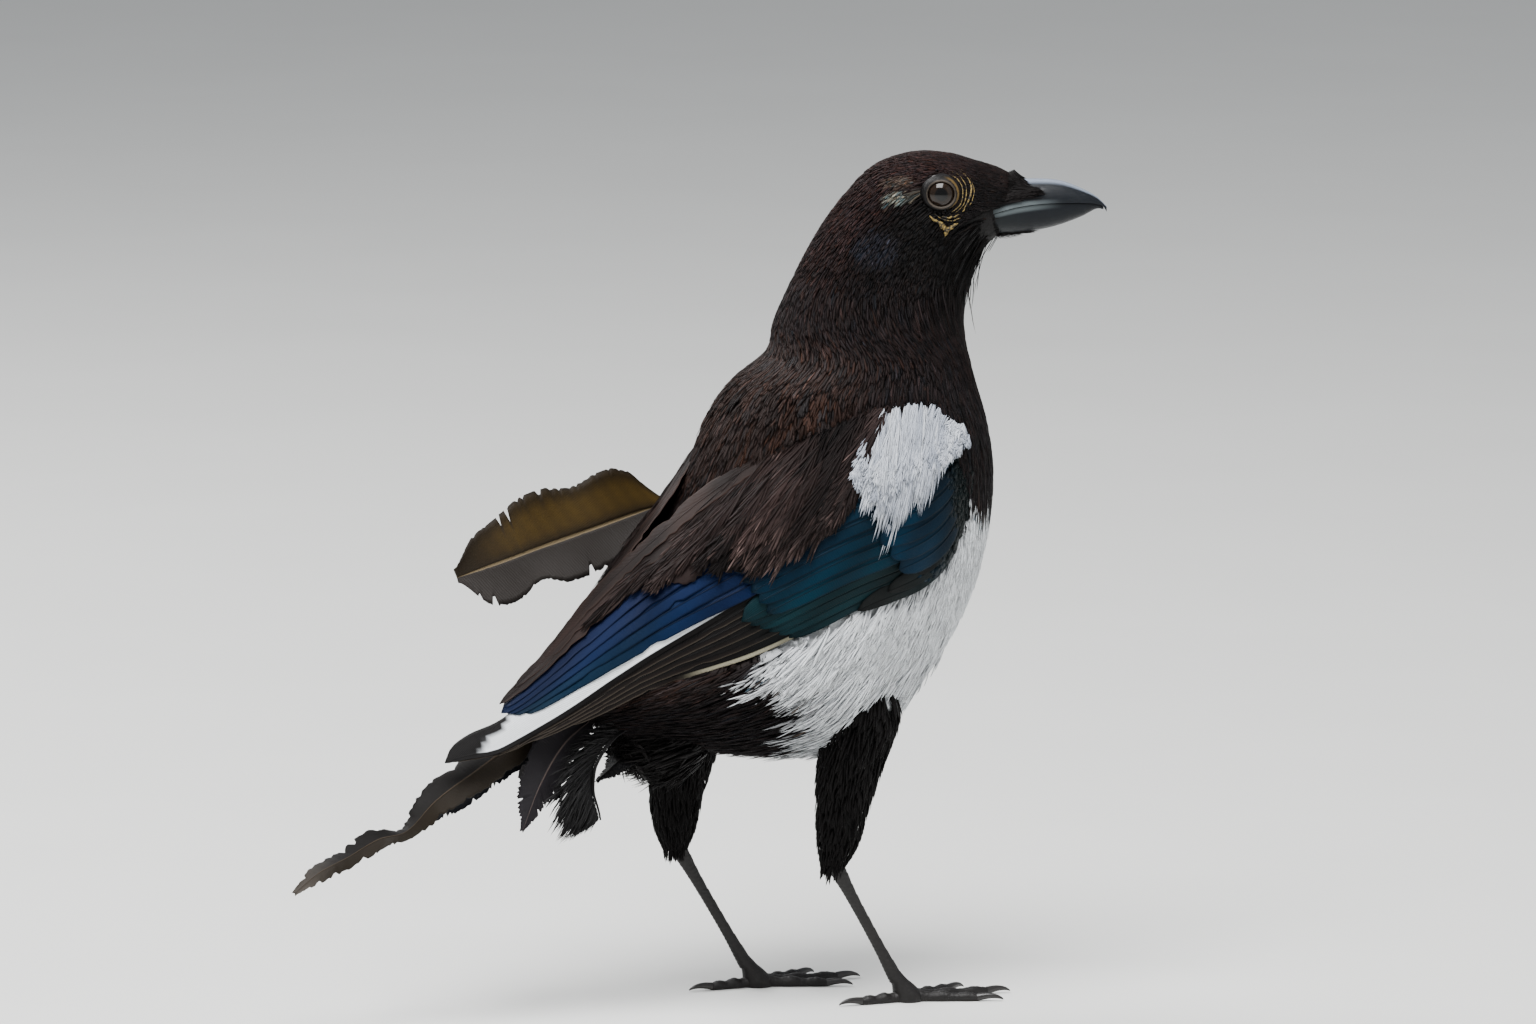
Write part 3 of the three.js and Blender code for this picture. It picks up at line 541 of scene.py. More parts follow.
steps, angles = grid(np.linspace(0, LAST_RING, 170), np.linspace(0, ROUND, 96, endpoint=False))
mark_points = [trunk(steps, angles)]
mark_tones = [plumage(straight_trunk(steps, angles), steps, angles)]
for name in THIGHS:
    us, turns = grid(np.linspace(0.2, 1, 24), np.linspace(0, ROUND, 20))
    mark_points.append(thigh_face(name)(us, turns))
    mark_tones.append(np.broadcast_to(BLACK, (len(us), 3)))
mark_tree, mark_tones = tree_of(metres(np.vstack(mark_points))), np.vstack(mark_tones)
skin_tones = np.array([mark_tones[mark_tree.find(vertex.co)[1]] for vertex in skin.data.vertices])
painted(skin.data, np.hstack([skin_tones, np.zeros((len(skin_tones), 1))]))
skin_paint, tree, shader = new_material("feathered_skin", Specular_IOR_Level=0.3)
plume = Wire.of(tree, "ShaderNodeAttribute", {"attribute_name": "Plumage"})
down = noise(object_place(tree), 900, 4, 0.6)
feed(
    shader,
    Base_Color=blend(tree, 0.7, plume, blend(tree, down, (0.45, 0.45, 0.45), (1, 1, 1)), "MULTIPLY"),
    Roughness=0.7 + 0.2 * down,
    Normal=bump(down, 0.0006),
)
fitted(skin, skin_paint, "body_feather", "torso", "neck", "head", "thigh_right", "thigh_left")

# The small plumage of the head, neck, breast, back and belly. Each feather is a thin closed leaf of
# keratin, rooted in the skin, which lies back over the next ones and follows the body's curves.
dice = np.random.default_rng(11)
BARB_ANGLE = 0.9


def mapped(mesh, name, places):
    """Lay a map on a mesh, from the place of each of its points."""
    corners = np.empty(len(mesh.loops), np.int32)
    mesh.loops.foreach_get("vertex_index", corners)
    layer = mesh.uv_layers.new(name=name)
    layer.data.foreach_set("uv", places[corners].astype(np.float32).ravel())


class Bundle:
    """Many feathers, joined into one mesh with their colours and maps."""

    def __init__(self):
        self.feathers, self.count = [], 0

    def add(self, points, triangles, tones, barbs, bakes):
        rows = (points, triangles + self.count, tones, barbs, bakes)
        self.feathers.append([one.reshape(-1, width) for one, width in zip(rows, (3, 3, 4, 2, 2))])
        self.count += len(self.feathers[-1][0])

    def piece(self, name, material, slot, *nodes):
        points, triangles, tones, barbs, bakes = (np.vstack(rows) for rows in zip(*self.feathers))
        mesh = bpy.data.meshes.new(name)
        mesh.vertices.add(self.count)
        mesh.vertices.foreach_set("co", metres(points).astype(np.float32).ravel())
        mesh.loops.add(triangles.size)
        mesh.loops.foreach_set("vertex_index", triangles.astype(np.int32).ravel())
        mesh.polygons.add(len(triangles))
        mesh.polygons.foreach_set("loop_start", np.arange(0, triangles.size, 3, dtype=np.int32))
        mesh.polygons.foreach_set("use_smooth", np.ones(len(triangles), bool))
        mesh.update()
        mapped(mesh, "Barbs", barbs)
        mapped(mesh, "OFBake", bakes)
        painted(mesh, tones)
        fitted(linked(name, mesh), material, slot, *nodes)


# A leaf has a foot, three rings of three corners and a tip. Each corner is a share of its length, a
# side, a share of its width and a share of its lift.
LEAF_RINGS = ((0.15, 0.7, 0.3), (0.5, 1.0, 0.75), (0.84, 0.72, 1.0))
LEAF_CORNERS = [(u, v, w, rise) for u, w, rise in LEAF_RINGS for v in (-1, 0, 1)]
LEAF_CORNERS = np.array([(0.0, 0.0, 0.0, 0.0), *LEAF_CORNERS, (1.0, 0.0, 0.0, 1.1)])
LEAF_FACES = [(0, 1, 2), (0, 2, 3), (0, 3, 1)]
for left in (1, 4):
    for one, two in ((left, left + 1), (left + 1, left + 2), (left + 2, left)):
        LEAF_FACES += [(one, one + 3, two + 3), (one, two + 3, two)]
LEAF_FACES = np.array(LEAF_FACES + [(7, 10, 8), (8, 10, 9), (9, 10, 7)])
BAKE_PATCH = 0.003


def barbs_of(feathers, each, length, width):
    """Barbs on the shafts of soft feathers: whose each is, where it starts, and how it lies."""
    owner = np.repeat(np.arange(feathers), each)
    start = dice.uniform(-0.05, 0.68, len(owner))
    share = dice.uniform(-1, 1, len(owner))
    span = length[owner] * (0.5 - 0.2 * start) * dice.uniform(0.8, 1.2, len(owner))
    slant = share * (1 - 0.4 * np.maximum(start, 0)) * width / 2 / span
    return owner, start, share, start * length[owner], span, slant


def add_leaves(
    bundle, face, first, second, length, width, lift, tint, tip, turn, way=(1.0, 0.0), gloss=0.0,
    ahead=0.0, sink=-1.0, bow=0.22, sag=0.0, scale=(1.0, 1.0), bake=(1.0, ROUND), tuck=None,
):
    """Feathers rooted on a face, which lie along a way that is told in the face's two measures."""
    count = len(first)
    turn, ahead, sink, gloss = (
        np.broadcast_to(one, (count,))[:, None] for one in (turn, ahead, sink, gloss)
    )
    length, width, lift = length[:, None], width[:, None], lift[:, None]
    sag, way = np.broadcast_to(sag, (count, 3)), np.broadcast_to(way, (count, 2))

    def slope(one, two):
        """How far a point moves for a step in one of the face's measures."""
        ends = face(first + one, second + two, 0.0) - face(first - one, second - two, 0.0)
        return ends / (2 * (one + two))

    by_first, by_second = slope(0.02 * scale[0], 0.0), slope(0.0, 0.02 * scale[1])
    flow = by_first * way[:, :1] + by_second * way[:, 1:]
    flow /= np.linalg.norm(flow, axis=1)[:, None] + 1e-9
    cross = unit(np.cross(unit(face(first, second, 1.0) - face(first, second, 0.0)), flow))
    pairs = ((by_first, by_first), (by_first, by_second), (by_second, by_second))
    a, b, c = ((one * other).sum(1) for one, other in pairs)
    area = a * c - b ** 2 + 1e-9

    def in_measures(way):
        one, two = (by_first * way).sum(1), (by_second * way).sum(1)
        return np.stack([(c * one - b * two) / area, (a * two - b * one) / area], -1)

    along = in_measures(flow * np.cos(turn) + cross * np.sin(turn))
    across = in_measures(cross * np.cos(turn) - flow * np.sin(turn))
    u, v, w, rise = LEAF_CORNERS.T
    aside, forward = width * v * w / 2, length * u
    roots = np.stack([first, second], -1) + in_measures(flow) * ahead
    spots = roots[:, None] + along[:, None] * forward[..., None] + across[:, None] * aside[..., None]
    height = sink + (lift - sink) * rise + bow * (v == 0) * w
    points = face(spots[..., 0], spots[..., 1], height) + sag[:, None] * (u * u)[None, :, None]
    if tuck:
        points = tuck(points.reshape(-1, 3)).reshape(points.shape)
    shade = tint[:, None] + (tip - tint)[:, None] * smooth_step(u, 0.35, 1.0)[None, :, None]
    tones = np.concatenate([shade, gloss[..., None] * np.ones((1, len(u), 1))], -1)
    bakes = (roots / bake)[:, None] % 1.0
    bakes = bakes * (1 - BAKE_PATCH) + BAKE_PATCH * np.stack([u, 0.5 + 0.5 * v * w], -1)
    triangles = LEAF_FACES[None] + len(u) * np.arange(count)[:, None, None]
    bundle.add(points, triangles, tones, np.stack([aside, forward], -1), bakes)


def read_map(tree, name):
    """A piece's own map, and its two measures."""
    spot = Wire.of(tree, "ShaderNodeUVMap", {"uv_map": name})
    split = tree.nodes.new("ShaderNodeSeparateXYZ")
    tree.links.new(spot.socket, split.inputs[0])
    return spot, Wire(split.outputs[0]), Wire(split.outputs[1])


def plume_material(name, stripes, rough, streak, relief, shine):
    """Feather: the coat's own colours, with barbs that leave the shaft at a slant."""
    material, tree, shader = new_material(name, Specular_IOR_Level=shine)
    plume = Wire.of(tree, "ShaderNodeAttribute", {"attribute_name": "Plumage"})
    gloss = Wire.of(tree, "ShaderNodeAttribute", {"attribute_name": "Plumage"}, output=3)
    _, across, along = read_map(tree, "Barbs")
    lane = along - across.sum("ABSOLUTE") * BARB_ANGLE + 0.5 * noise(object_place(tree), 260, 2)
    barb = (lane * (stripes * 2 * math.pi)).sum("SINE") * 0.5 + 0.5
    fine = noise(object_place(tree), 1500, 3, 0.6)
    dark = blend(tree, barb * 0.6 + fine * 0.4, [1 - streak] * 3, [1.12] * 3)
    feed(
        shader,
        Base_Color=blend(tree, 1.0, plume, dark, "MULTIPLY"),
        Roughness=rough + 0.15 * fine - 0.12 * gloss,
        Metallic=gloss * 0.55,
        Normal=bump(barb * 0.7 + fine * 0.5, 0.00012, relief),
    )
    return material


black_plume = plume_material("black_plumage", 2.6, 0.48, 0.5, 0.7, 0.1)
white_plume = plume_material("white_plumage", 2.2, 0.7, 0.14, 0.5, 0.2)

EYE_MIDDLE = np.array([35.6, 11.2, 242.6])
EYE_RADIUS = 6.0
EYE_FORWARD = math.radians(1)
eye_way = np.array([math.sin(EYE_FORWARD), math.cos(EYE_FORWARD), 0])
# Feathers stay off the bare ring of the eye, and off the bill below a line that runs up to its tip.
BARE_RING, LID_EDGE, NEAR_EYE, FAR_FROM_EYE = 5.1, 4.9, 16, 99
GAPE_X, GAPE_START, BILL_START, BILL_SIDE, CHIN_HEIGHT = (44, 67), 43, 52, 4, 229.4
# A few feathers are painted brighter as glints of light, and the black ones vary from warm to cool.
GLINTS, GLINT = 0.05, 2.2
HUE_SPREAD, HUE_WAY = 0.14, (1, -0.1, -0.9)
# The coat lies flatter over these steps of the face and of the neck.
FACE_FLAT, NECK_FLAT = (19.4, 21), (9.5, 12.5)
WHITE_FROM = 0.2


def rows_on_trunk(steps, gap):
    """Roots in staggered rows round the body, the same distance apart all over."""
    firsts, seconds = [], []
    fine = np.linspace(0, ROUND, 241)
    for number, step in enumerate(steps):
        ring = straight_trunk(np.full(fine.shape, step), fine)
        reach = np.concatenate([[0], np.cumsum(np.linalg.norm(np.diff(ring, axis=0), axis=1))])
        count = max(int(reach[-1] / gap), 6)
        wanted = (np.arange(count) + 0.5 * (number % 2) + dice.uniform(-0.35, 0.35, count)) / count
        seconds.append(np.interp((wanted % 1) * reach[-1], reach, fine))
        firsts.append(np.full(count, step) + dice.uniform(-0.45, 0.45, count) * (steps[1] - steps[0]))
    return np.clip(np.concatenate(firsts), 0.02, LAST_RING - 0.02), np.concatenate(seconds)


def hanging(drop):
    """A sag straight down, from its depth at each feather's tip."""
    return np.multiply.outer(drop, (0, 0, -1.0))


def trunk_coat(name, material, slot, span, rows, gap, sizes, keep=None, fluff=0.0, each=1, wide=0.0):
    """One belt of small feathers: sizes gives length, width and lift from the place on the body."""
    first, second = rows_on_trunk(np.linspace(*span, rows), gap)
    points = straight_trunk(first, second)
    folded = points * mirror_of(points)
    from_eye = folded - EYE_MIDDLE
    aside = from_eye - (from_eye @ eye_way)[:, None] * eye_way
    eye_gap = np.where(folded[:, 1] < 4, FAR_FROM_EYE, np.linalg.norm(aside, axis=1))
    _, s, t, _ = under_wing(trunk(first, second))
    x, y, z = points.T
    gape = np.interp(x, GAPE_X, (233.6, 240.5))
    on_bill = (x > BILL_START) & (z < gape) & (z > CHIN_HEIGHT) & (np.abs(y) > BILL_SIDE)
    on_bill |= (x > GAPE_START) & (np.abs(z - gape + 0.5) < 1.0)
    wanted = (eye_gap > BARE_RING) & ~((s > 0.05) & (t > 0.03) & (t < 0.92)) & ~on_bill
    if keep:
        wanted &= keep(plumage(points, first, second)[:, 0] > WHITE_FROM, y, np.sin(second))
    first, second, points, aside, eye_gap = (
        rows[wanted] for rows in (first, second, points, aside, eye_gap)
    )
    count = len(first)
    length, width, lift = sizes(first, points[:, 1], np.sin(second)) if callable(sizes) else sizes
    length = length * dice.uniform(0.75, 1.2, count)
    width = width * dice.uniform(0.75, 1.25, count)
    lift = lift * dice.uniform(0.6, 1.3, count)
    before_eye = (aside[:, 0] > 0) & (eye_gap < NEAR_EYE)
    length = np.where(before_eye, np.minimum(length, np.maximum(eye_gap - LID_EDGE, 1.0)), length)
    tint = plumage(points, first, second)
    white = tint[:, :1] > WHITE_FROM
    # Painted glints: a few feathers are made brighter to stand in for highlights.
    glint = np.where(dice.random((count, 1)) < GLINTS, GLINT, 1.0)
    hue = 1 + dice.normal(0, HUE_SPREAD, (count, 1)) * HUE_WAY
    pale = dice.uniform(0.8, 1.02, (count, 1))
    tint = tint * np.where(white, pale, dice.uniform(0.4, 1.5, (count, 1)) * glint * hue)
    tip = tint * dice.uniform(0.85, 1.5, (count, 1)) ** np.where(white, 0.2, 1.0)
    turn = dice.normal(0, 0.09, count)
    settled = -1.0 * smooth_step(first, *FACE_FLAT) - 0.6 * smooth_step(first, *NECK_FLAT)
    x, z = points[:, 0], points[:, 2]
    settled = settled - 1.5 * (smooth_step(x, 46.5, 52) * (z < np.interp(x, GAPE_X, (235, 242))))
    ahead = 0.0
    if each > 1:
        owner, start, share, ahead, length, slant = barbs_of(count, each, length, wide)
        count = len(owner)
        first, second, width, lift, tint, tip, turn, settled = (
            rows[owner] for rows in (first, second, width, lift, tint, tip, turn, settled)
        )
        turn = 0.5 * turn + slant + dice.normal(0, 0.03, count)
        shade = dice.uniform(0.84, 1.12, (count, 1))
        tint, tip = tint * shade, tip * shade
        settled = settled + 0.8 * np.maximum(start, 0)
        lift = lift - 0.3 * share ** 2
    bundle = Bundle()
    add_leaves(
        bundle, trunk, first, second, length, width, lift + settled, tint, tip, turn, (-1.0, 0.0), 0.12,
        ahead, settled - 1, sag=hanging(dice.uniform(0, 1, count) * fluff * length),
        bake=(LAST_RING, ROUND), tuck=lambda points: pressed(points, 0.5, 0.04),
    )
    bundle.piece(name, material, slot)


def head_sizes(first, y, rise):
    throat = smooth_step(-rise, 0.25, 0.8) * (1 - smooth_step(first, 18, 20.5))
    face = smooth_step(first, 15, 20)
    loose = (dice.random(len(first)) < 0.03) * dice.random(len(first)) * throat
    length = 6.4 - 3.2 * face + 3.6 * throat + 2 * loose
    width = 0.84 - 0.31 * face - 0.22 * throat
    return length, width, 0.35 + 0.25 * throat - 0.1 * face + 3.4 * loose


def neck_sizes(first, y, rise):
    throat = smooth_step(-rise, 0.2, 0.8)
    return 10.0 + 2.0 * throat, 1.0 - 0.34 * throat, 0.45 + 0.15 * throat


def belly_sizes(first, y, rise):
    under = smooth_step(-rise, 0.1, 0.9) * (1 - smooth_step(first, 3.5, 5))
    loose = dice.random(len(first)) ** 4 * (1 - smooth_step(first, 4, 5.5))
    width = np.where(y < 0, 0.74, 0.95) * (1 - 0.12 * under)
    return 20.0 + 3 * under + 7 * loose, width, 0.55 + 0.9 * under + 2.2 * loose


def black_coat(name, *more):
    trunk_coat(name + "_feathers", black_plume, "black_feather", *more)


black_coat("face", (16.5, 21), 80, 0.62, head_sizes)
black_coat("head", (12.6, 16.6), 52, 0.92, head_sizes)
black_coat("neck", (9.4, 12.8), 44, 1.1, neck_sizes)
black_coat(
    "breast", (4.2, 9.8), 78, 1.12, (13.0, 1.2, 0.7), lambda white, y, rise: ~white & (rise < 0.35)
)
black_coat(
    "back", (1.2, 9.4), 38, 3.0, (21.0, 1.0, 0.6), lambda white, y, rise: ~white & (rise >= 0.25),
    0.0, 10, 4.6,
)
for name, right, each in (("right", True, 11), ("left", False, 8)):
    trunk_coat(
        "belly_feathers_" + name, white_plume, "body_feather", (2.9, 7.9), 46, 2.5, belly_sizes,
        lambda white, y, rise: white & ((y < 0) == right), 0.06, each, 6.0,
    )
black_coat("vent", (0, 4.0), 54, 1.25, (14.0, 0.86, 0.9), lambda white, y, rise: ~white, 0.12)

THIGH_FEATHERS = 1900
for name in THIGHS:
    count = THIGH_FEATHERS
    first, second = dice.uniform(0.08, 0.97, count), dice.uniform(0, ROUND, count)
    tint = BLACK * dice.uniform(0.7, 1.25, (count, 1))
    bundle = Bundle()
    add_leaves(
        bundle, thigh_face(name), first, second, dice.uniform(7, 11, count) * (1.1 - 0.7 * first),
        dice.uniform(0.75, 1.3, count) * (1 - 0.3 * first),
        dice.uniform(0.3, 1.1, count) * (1.1 - 0.9 * first),
        tint, tint * 1.25, dice.normal(0, 0.12, count), gloss=0.1, scale=(0.2, 1.0),
    )
    bundle.piece("thigh_feathers_" + name, black_plume, "black_feather")

# The eyes. Each is a wet dark ball, set deep, with a brown iris round a black pupil under a clear
# cornea. A wrinkled ring of bare lid skin with a pale rim closes round it, and thin lines of ochre
# skin show between the rows of feathers before and below it.
SIDES = {"right": -1, "left": 1}
# The lid's profile: a distance from the eye's axis and a depth along it.
LID_PROFILE = np.array([
    (3.85, 4.3), (3.8, 4.75), (3.95, 5.15), (4.2, 5.36), (4.42, 5.3), (4.55, 5.12), (4.75, 5.1),
    (4.95, 4.95), (5.2, 4.5), (5.9, 3.2), (5.6, 1.9), (4.3, 2.4),
])
# Lines of bare skin, ahead of the eye's middle and above it, and how thick they are.
SKIN_LINES = [
    ([(4.4, 6.8), (7.3, 5.2), (8.9, 2.1), (8.5, -1.3), (6.9, -4.3), (6.1, -5.4)], 0.3),
    ([(5.8, 6.9), (8.4, 4.8), (9.8, 1.6), (9.2, -2.0), (8.3, -3.6)], 0.15),
    ([(3.2, 6.2), (6.2, 4.5), (7.6, 1.4), (7.2, -2.4), (4.4, -5.6)], 0.16),
    ([(2.3, 5.4), (5.0, 4.0), (6.4, 1.2), (6.1, -2.4), (3.2, -5.4)], 0.22),
    ([(0.3, -6.6), (2.8, -7.0), (5.4, -6.1)], 0.36),
    ([(-2.0, -5.8), (0.6, -7.4), (3.4, -7.9), (5.8, -7.1)], 0.18),
    ([(-3.6, -6.6), (-1.4, -8.0), (0.8, -9.6), (1.8, -11.2), (1.0, -13.2)], 0.55),
    ([(5.0, -8.8), (3.4, -9.6), (2.0, -11.0), (1.4, -12.2)], 0.6),
    ([(-0.6, -8.9), (1.2, -10.2), (2.6, -10.3)], 0.7),
    ([(0.6, -9.4), (1.6, -10.8), (1.3, -12.2)], 0.75),
]
LINE_ROWS, LINE_SIDES, LINE_REACH, LINE_PROUD = 22, 8, 14, 0.0016


def off_axis(tree, middle, way):
    """How far, in millimetres, a point is from an eye's axis, and its place from the eye's middle."""
    place = object_place(tree).vector("SUBTRACT", tuple(middle))
    deep = place.vector("DOT_PRODUCT", tuple(way), output=1)
    whole = place.vector("LENGTH", output=1)
    return (whole * whole - deep * deep).sum("MAXIMUM", 0.0).sum("SQRT") * 1000, place


def closed(name, parts, material, slot, *nodes, crease=None):
    """A piece from closed parts: its faces are turned outwards, and it is shaded smooth."""
    piece = new_piece(name, parts)
    chosen(piece)
    bpy.ops.object.mode_set(mode="EDIT")
    bpy.ops.mesh.select_all(action="SELECT")
    bpy.ops.mesh.normals_make_consistent(inside=False)
    bpy.ops.object.mode_set(mode="OBJECT")
    if crease:
        bpy.ops.object.shade_smooth_by_angle(angle=math.radians(crease))
    else:
        bpy.ops.object.shade_smooth()
    fitted(piece, material, slot, *nodes)
    return piece


def tube(rings):
    """Points and faces of a tube with both ends closed, from its rings."""
    index = np.arange(rings.shape[0] * rings.shape[1]).reshape(rings.shape[:2])
    return rings.reshape(-1, 3), bands(index) + [index[0][::-1].tolist(), index[-1].tolist()]


ochre, tree, shader = new_material("ochre_skin", Specular_IOR_Level=0.35)
grain = noise(object_place(tree), 1100, 4)
feed(
    shader,
    Base_Color=blend(tree, grain.between(0.4, 0.6), srgb(22, 18, 13), srgb(122, 102, 52)),
    Roughness=0.5 + 0.2 * grain,
    Normal=bump(grain, 0.0002),
)
skin_faces = BVHTree.FromObject(skin, bpy.context.evaluated_depsgraph_get())
up = np.array([0, 0, 1.0])
for name, side in SIDES.items():
    middle = metres(head_turned(EYE_MIDDLE * (1, side, 1)))
    ahead, aside = eye_way[0], eye_way[1] * side
    cos, sin = math.cos(HEAD_TURN), math.sin(HEAD_TURN)
    way = np.array([ahead * cos - aside * sin, ahead * sin + aside * cos, 0])
    front = np.cross(way, up) * side
    bpy.ops.object.select_all(action="DESELECT")
    bpy.ops.mesh.primitive_uv_sphere_add(
        segments=64, ring_count=40, radius=EYE_RADIUS / 1000, location=middle,
        rotation=Vector(way).to_track_quat("Z", "Y").to_euler(),
    )
    ball = bpy.context.object
    ball.name = "eyeball_" + name
    bpy.ops.object.transform_apply(location=True, rotation=True, scale=True)
    bpy.ops.object.shade_smooth()
    for vertex in ball.data.vertices:
        out = np.array(vertex.co) - middle
        cornea = float(smooth_step(out @ way / (EYE_RADIUS / 1000), 0.72, 1.0))
        vertex.co = Vector(middle + out * (1 + 0.06 * cornea))
    eye_paint, tree, shader = new_material(
        "eye_" + name, Coat_Weight=0.45, Coat_Roughness=0.02, Specular_IOR_Level=0.1
    )
    off, place = off_axis(tree, middle, way)
    rays = noise(place, 900, 3, 0.6)
    iris = blend(tree, rays, srgb(13, 10, 8), srgb(38, 27, 18))
    inner = blend(tree, (off + 0.3 * rays).between(1.9, 2.3), [0.002] * 3, iris)
    feed(
        shader,
        Base_Color=blend(tree, off.between(3.3, 3.9), inner, srgb(14, 10, 9)),
        Roughness=0.06 + 0.05 * rays,
    )
    fitted(ball, eye_paint, "eye", "eye_" + name)

    turns = np.linspace(0, ROUND, 96, endpoint=False)
    wrinkle = 0.05 * np.sin(turns * 31) + 0.04 * np.sin(turns * 53 + 1)
    radius = LID_PROFILE[None, :, 0] * (1 + 0.05 * np.cos(2 * turns))[:, None]
    depth = LID_PROFILE[None, :, 1] + wrinkle[:, None] * smooth_step(LID_PROFILE[:, 0], 4.2, 5.2)[None]
    round_eye = np.cos(turns)[:, None, None] * front + np.sin(turns)[:, None, None] * up
    ring = middle + (radius[..., None] * round_eye + depth[..., None] * way) / 1000
    index = np.arange(ring.size // 3).reshape(ring.shape[:2])
    after = np.roll(index, -1, 0)
    quads = np.stack([index, after, np.roll(after, -1, 1), np.roll(index, -1, 1)], -1)
    lid_paint, tree, shader = new_material("lid_skin_" + name, Specular_IOR_Level=0.2)
    off, place = off_axis(tree, middle, way)
    grain = noise(place, 1400, 4)
    rim = (off + 0.35 * grain).between(4.35, 4.75)
    ahead = place.vector("DOT_PRODUCT", tuple(front), output=1)
    fold = (off + 0.5 * grain).between(4.9, 5.3) * (1 - (off + 0.5 * grain).between(5.5, 5.8))
    dark = blend(tree, rim, srgb(64, 57, 50), srgb(10, 8, 8))
    feed(
        shader,
        Base_Color=blend(tree, fold * (ahead * 1000).between(0.5, 3.5) * 0.5, dark, srgb(120, 96, 52)),
        Roughness=0.4 + 0.25 * grain,
        Normal=bump(grain, 0.0002),
    )
    lid = (ring.reshape(-1, 3), quads.reshape(-1, 4).tolist())
    closed("lids_" + name, [lid], lid_paint, "leg_skin")

    lines = []
    places = np.linspace(0, 1, LINE_ROWS)
    turns = np.linspace(0, ROUND, LINE_SIDES, endpoint=False)[None, :, None]
    for corners, thick in SKIN_LINES:
        spots = []
        waver = smooth_run(dice.normal(0, 0.1, (8, 2)), places)
        for ahead, rise in smooth_run(corners, places) + waver:
            start = Vector(middle + (front * ahead + up * rise + way * LINE_REACH) / 1000)
            hit = skin_faces.ray_cast(start, Vector(-way))[0]
            spots.append(np.array(hit if hit else start) + way * LINE_PROUD)
        spots = np.array(spots)
        aside = np.cross(unit(np.gradient(spots, axis=0)), way)
        slim = thick * np.sin(np.pi * np.linspace(0.04, 0.96, LINE_ROWS)) ** 0.6
        slim = slim * dice.uniform(0.45, 1.2, LINE_ROWS) / 1000
        round_line = np.cos(turns) * aside[:, None] + 0.6 * np.sin(turns) * way
        lines.append(tube(spots[:, None] + slim[:, None, None] * round_line))
    closed("skin_lines_" + name, lines, ochre, "leg_skin")

# The bill. Two halves of glossy blue-black horn meet at the gape; the upper one overhangs the lower
# one and ends in a slight hook. Stiff bristles lie forward over the nostrils.

# Rings from the face to the tip: how far forward, the ridge, the gape, the keel, and half the width.
BILL_RINGS = [
    (45, 239.3, 233.4, 229.4, 9), (52, 242.8, 235.8, 229, 8.4), (59, 245.1, 237.6, 229.2, 7.6),
    (66, 245.4, 238.4, 230.2, 6.6), (72, 244.7, 238.5, 231.8, 5.4), (78, 242.4, 238.3, 234.1, 3.9),
    (82.3, 240, 237.8, 236.3, 2.1), (85.3, 237, 236.4, 235.8, 0.5),
]
BILL_ROWS, BILL_ARC = 64, 26
BILL_INNER = ((-0.86, 0.1), (-0.5, 0.2), (0, 0.24), (0.5, 0.2), (0.86, 0.1))
SHUT_GAP = 0.12
ROUNDNESS = 0.86
# Each half: its node, its column in the rings, the end of it, its shine, how strong the painted highlight
# along its ridge is, and its gloss.
BILL_HALVES = {
    "upper_bill": ("bill_upper", 1, 1.0, 0.22, 0.9, 0.9),
    "lower_bill": ("bill_lower", 3, 0.94, 0.12, 0.0, 0.05),
}
for name, (node, edge, end, shine, wear_and_highlight, gloss) in BILL_HALVES.items():
    upper = edge == 1
    us = np.linspace(0, end, BILL_ROWS)
    ring = smooth_run(BILL_RINGS, us)
    base = ring[:, 2] + (SHUT_GAP if upper else -SHUT_GAP)
    base = base - upper * smooth_step(us, 0.93, 1.0)
    rise, base = (ring[:, edge] - base)[:, None], base[:, None]
    half = np.maximum(ring[:, 4] - (0.0 if upper else 0.45), 0.35)[:, None]
    arc = np.linspace(0, np.pi, BILL_ARC)
    inner_y, inner_z = np.array(BILL_INNER).T
    y = np.hstack([half * np.cos(arc) * (1 - 0.05 * np.sin(arc) ** 4), half * inner_y])
    z = np.hstack([base + rise * np.sin(arc) ** ROUNDNESS, base + rise * inner_z])
    horn, tree, shader = new_material(name + "_horn", Specular_IOR_Level=shine, Coat_Roughness=0.16)
    spot, along, round_about = read_map(tree, "Horn")
    scrape = noise(spot, 6, 4, 0.6, (3, 40, 1))
    cloud = noise(object_place(tree), 240, 3)
    rim = 1 - round_about.between(0.02, 0.06)
    ridge = round_about.between(0.27, 0.4)
    dark = blend(tree, scrape * 0.6 + cloud * 0.4, srgb(8, 10, 13), srgb(22, 26, 32))
    paler = blend(tree, (1 - along.between(0.05, 0.42)) * 0.3, dark, srgb(34, 40, 38))
    # A painted highlight: the ridge of the upper half is mixed towards pale blue-grey, broken up by its
    # scratches.
    painted_culmen_highlight = blend(tree, ridge * scrape.between(0.1, 0.6) * wear_and_highlight, paler, srgb(140, 150, 166))
    feed(
        shader,
        Base_Color=blend(tree, rim * (1 - along.between(0.3, 0.6)) * 0.8, painted_culmen_highlight, srgb(92, 100, 102)),
        Roughness=0.26 + 0.2 * scrape,
        Coat_Weight=ridge * gloss + 0.05,
        Normal=bump(scrape + 0.5 * cloud, 0.00015, 0.6),
    )
    rings = metres(head_turned(np.stack([np.broadcast_to(ring[:, :1], y.shape), y, z], -1)))
    piece = closed(name, [tube(rings)], horn, "bill", node, crease=50)
    lane = np.concatenate([0.5 - np.abs(np.linspace(0, 1, BILL_ARC) - 0.5), np.zeros(len(BILL_INNER))])
    mapped(piece.data, "Horn", np.stack([np.repeat(us, len(lane)), np.tile(lane, BILL_ROWS)], -1))


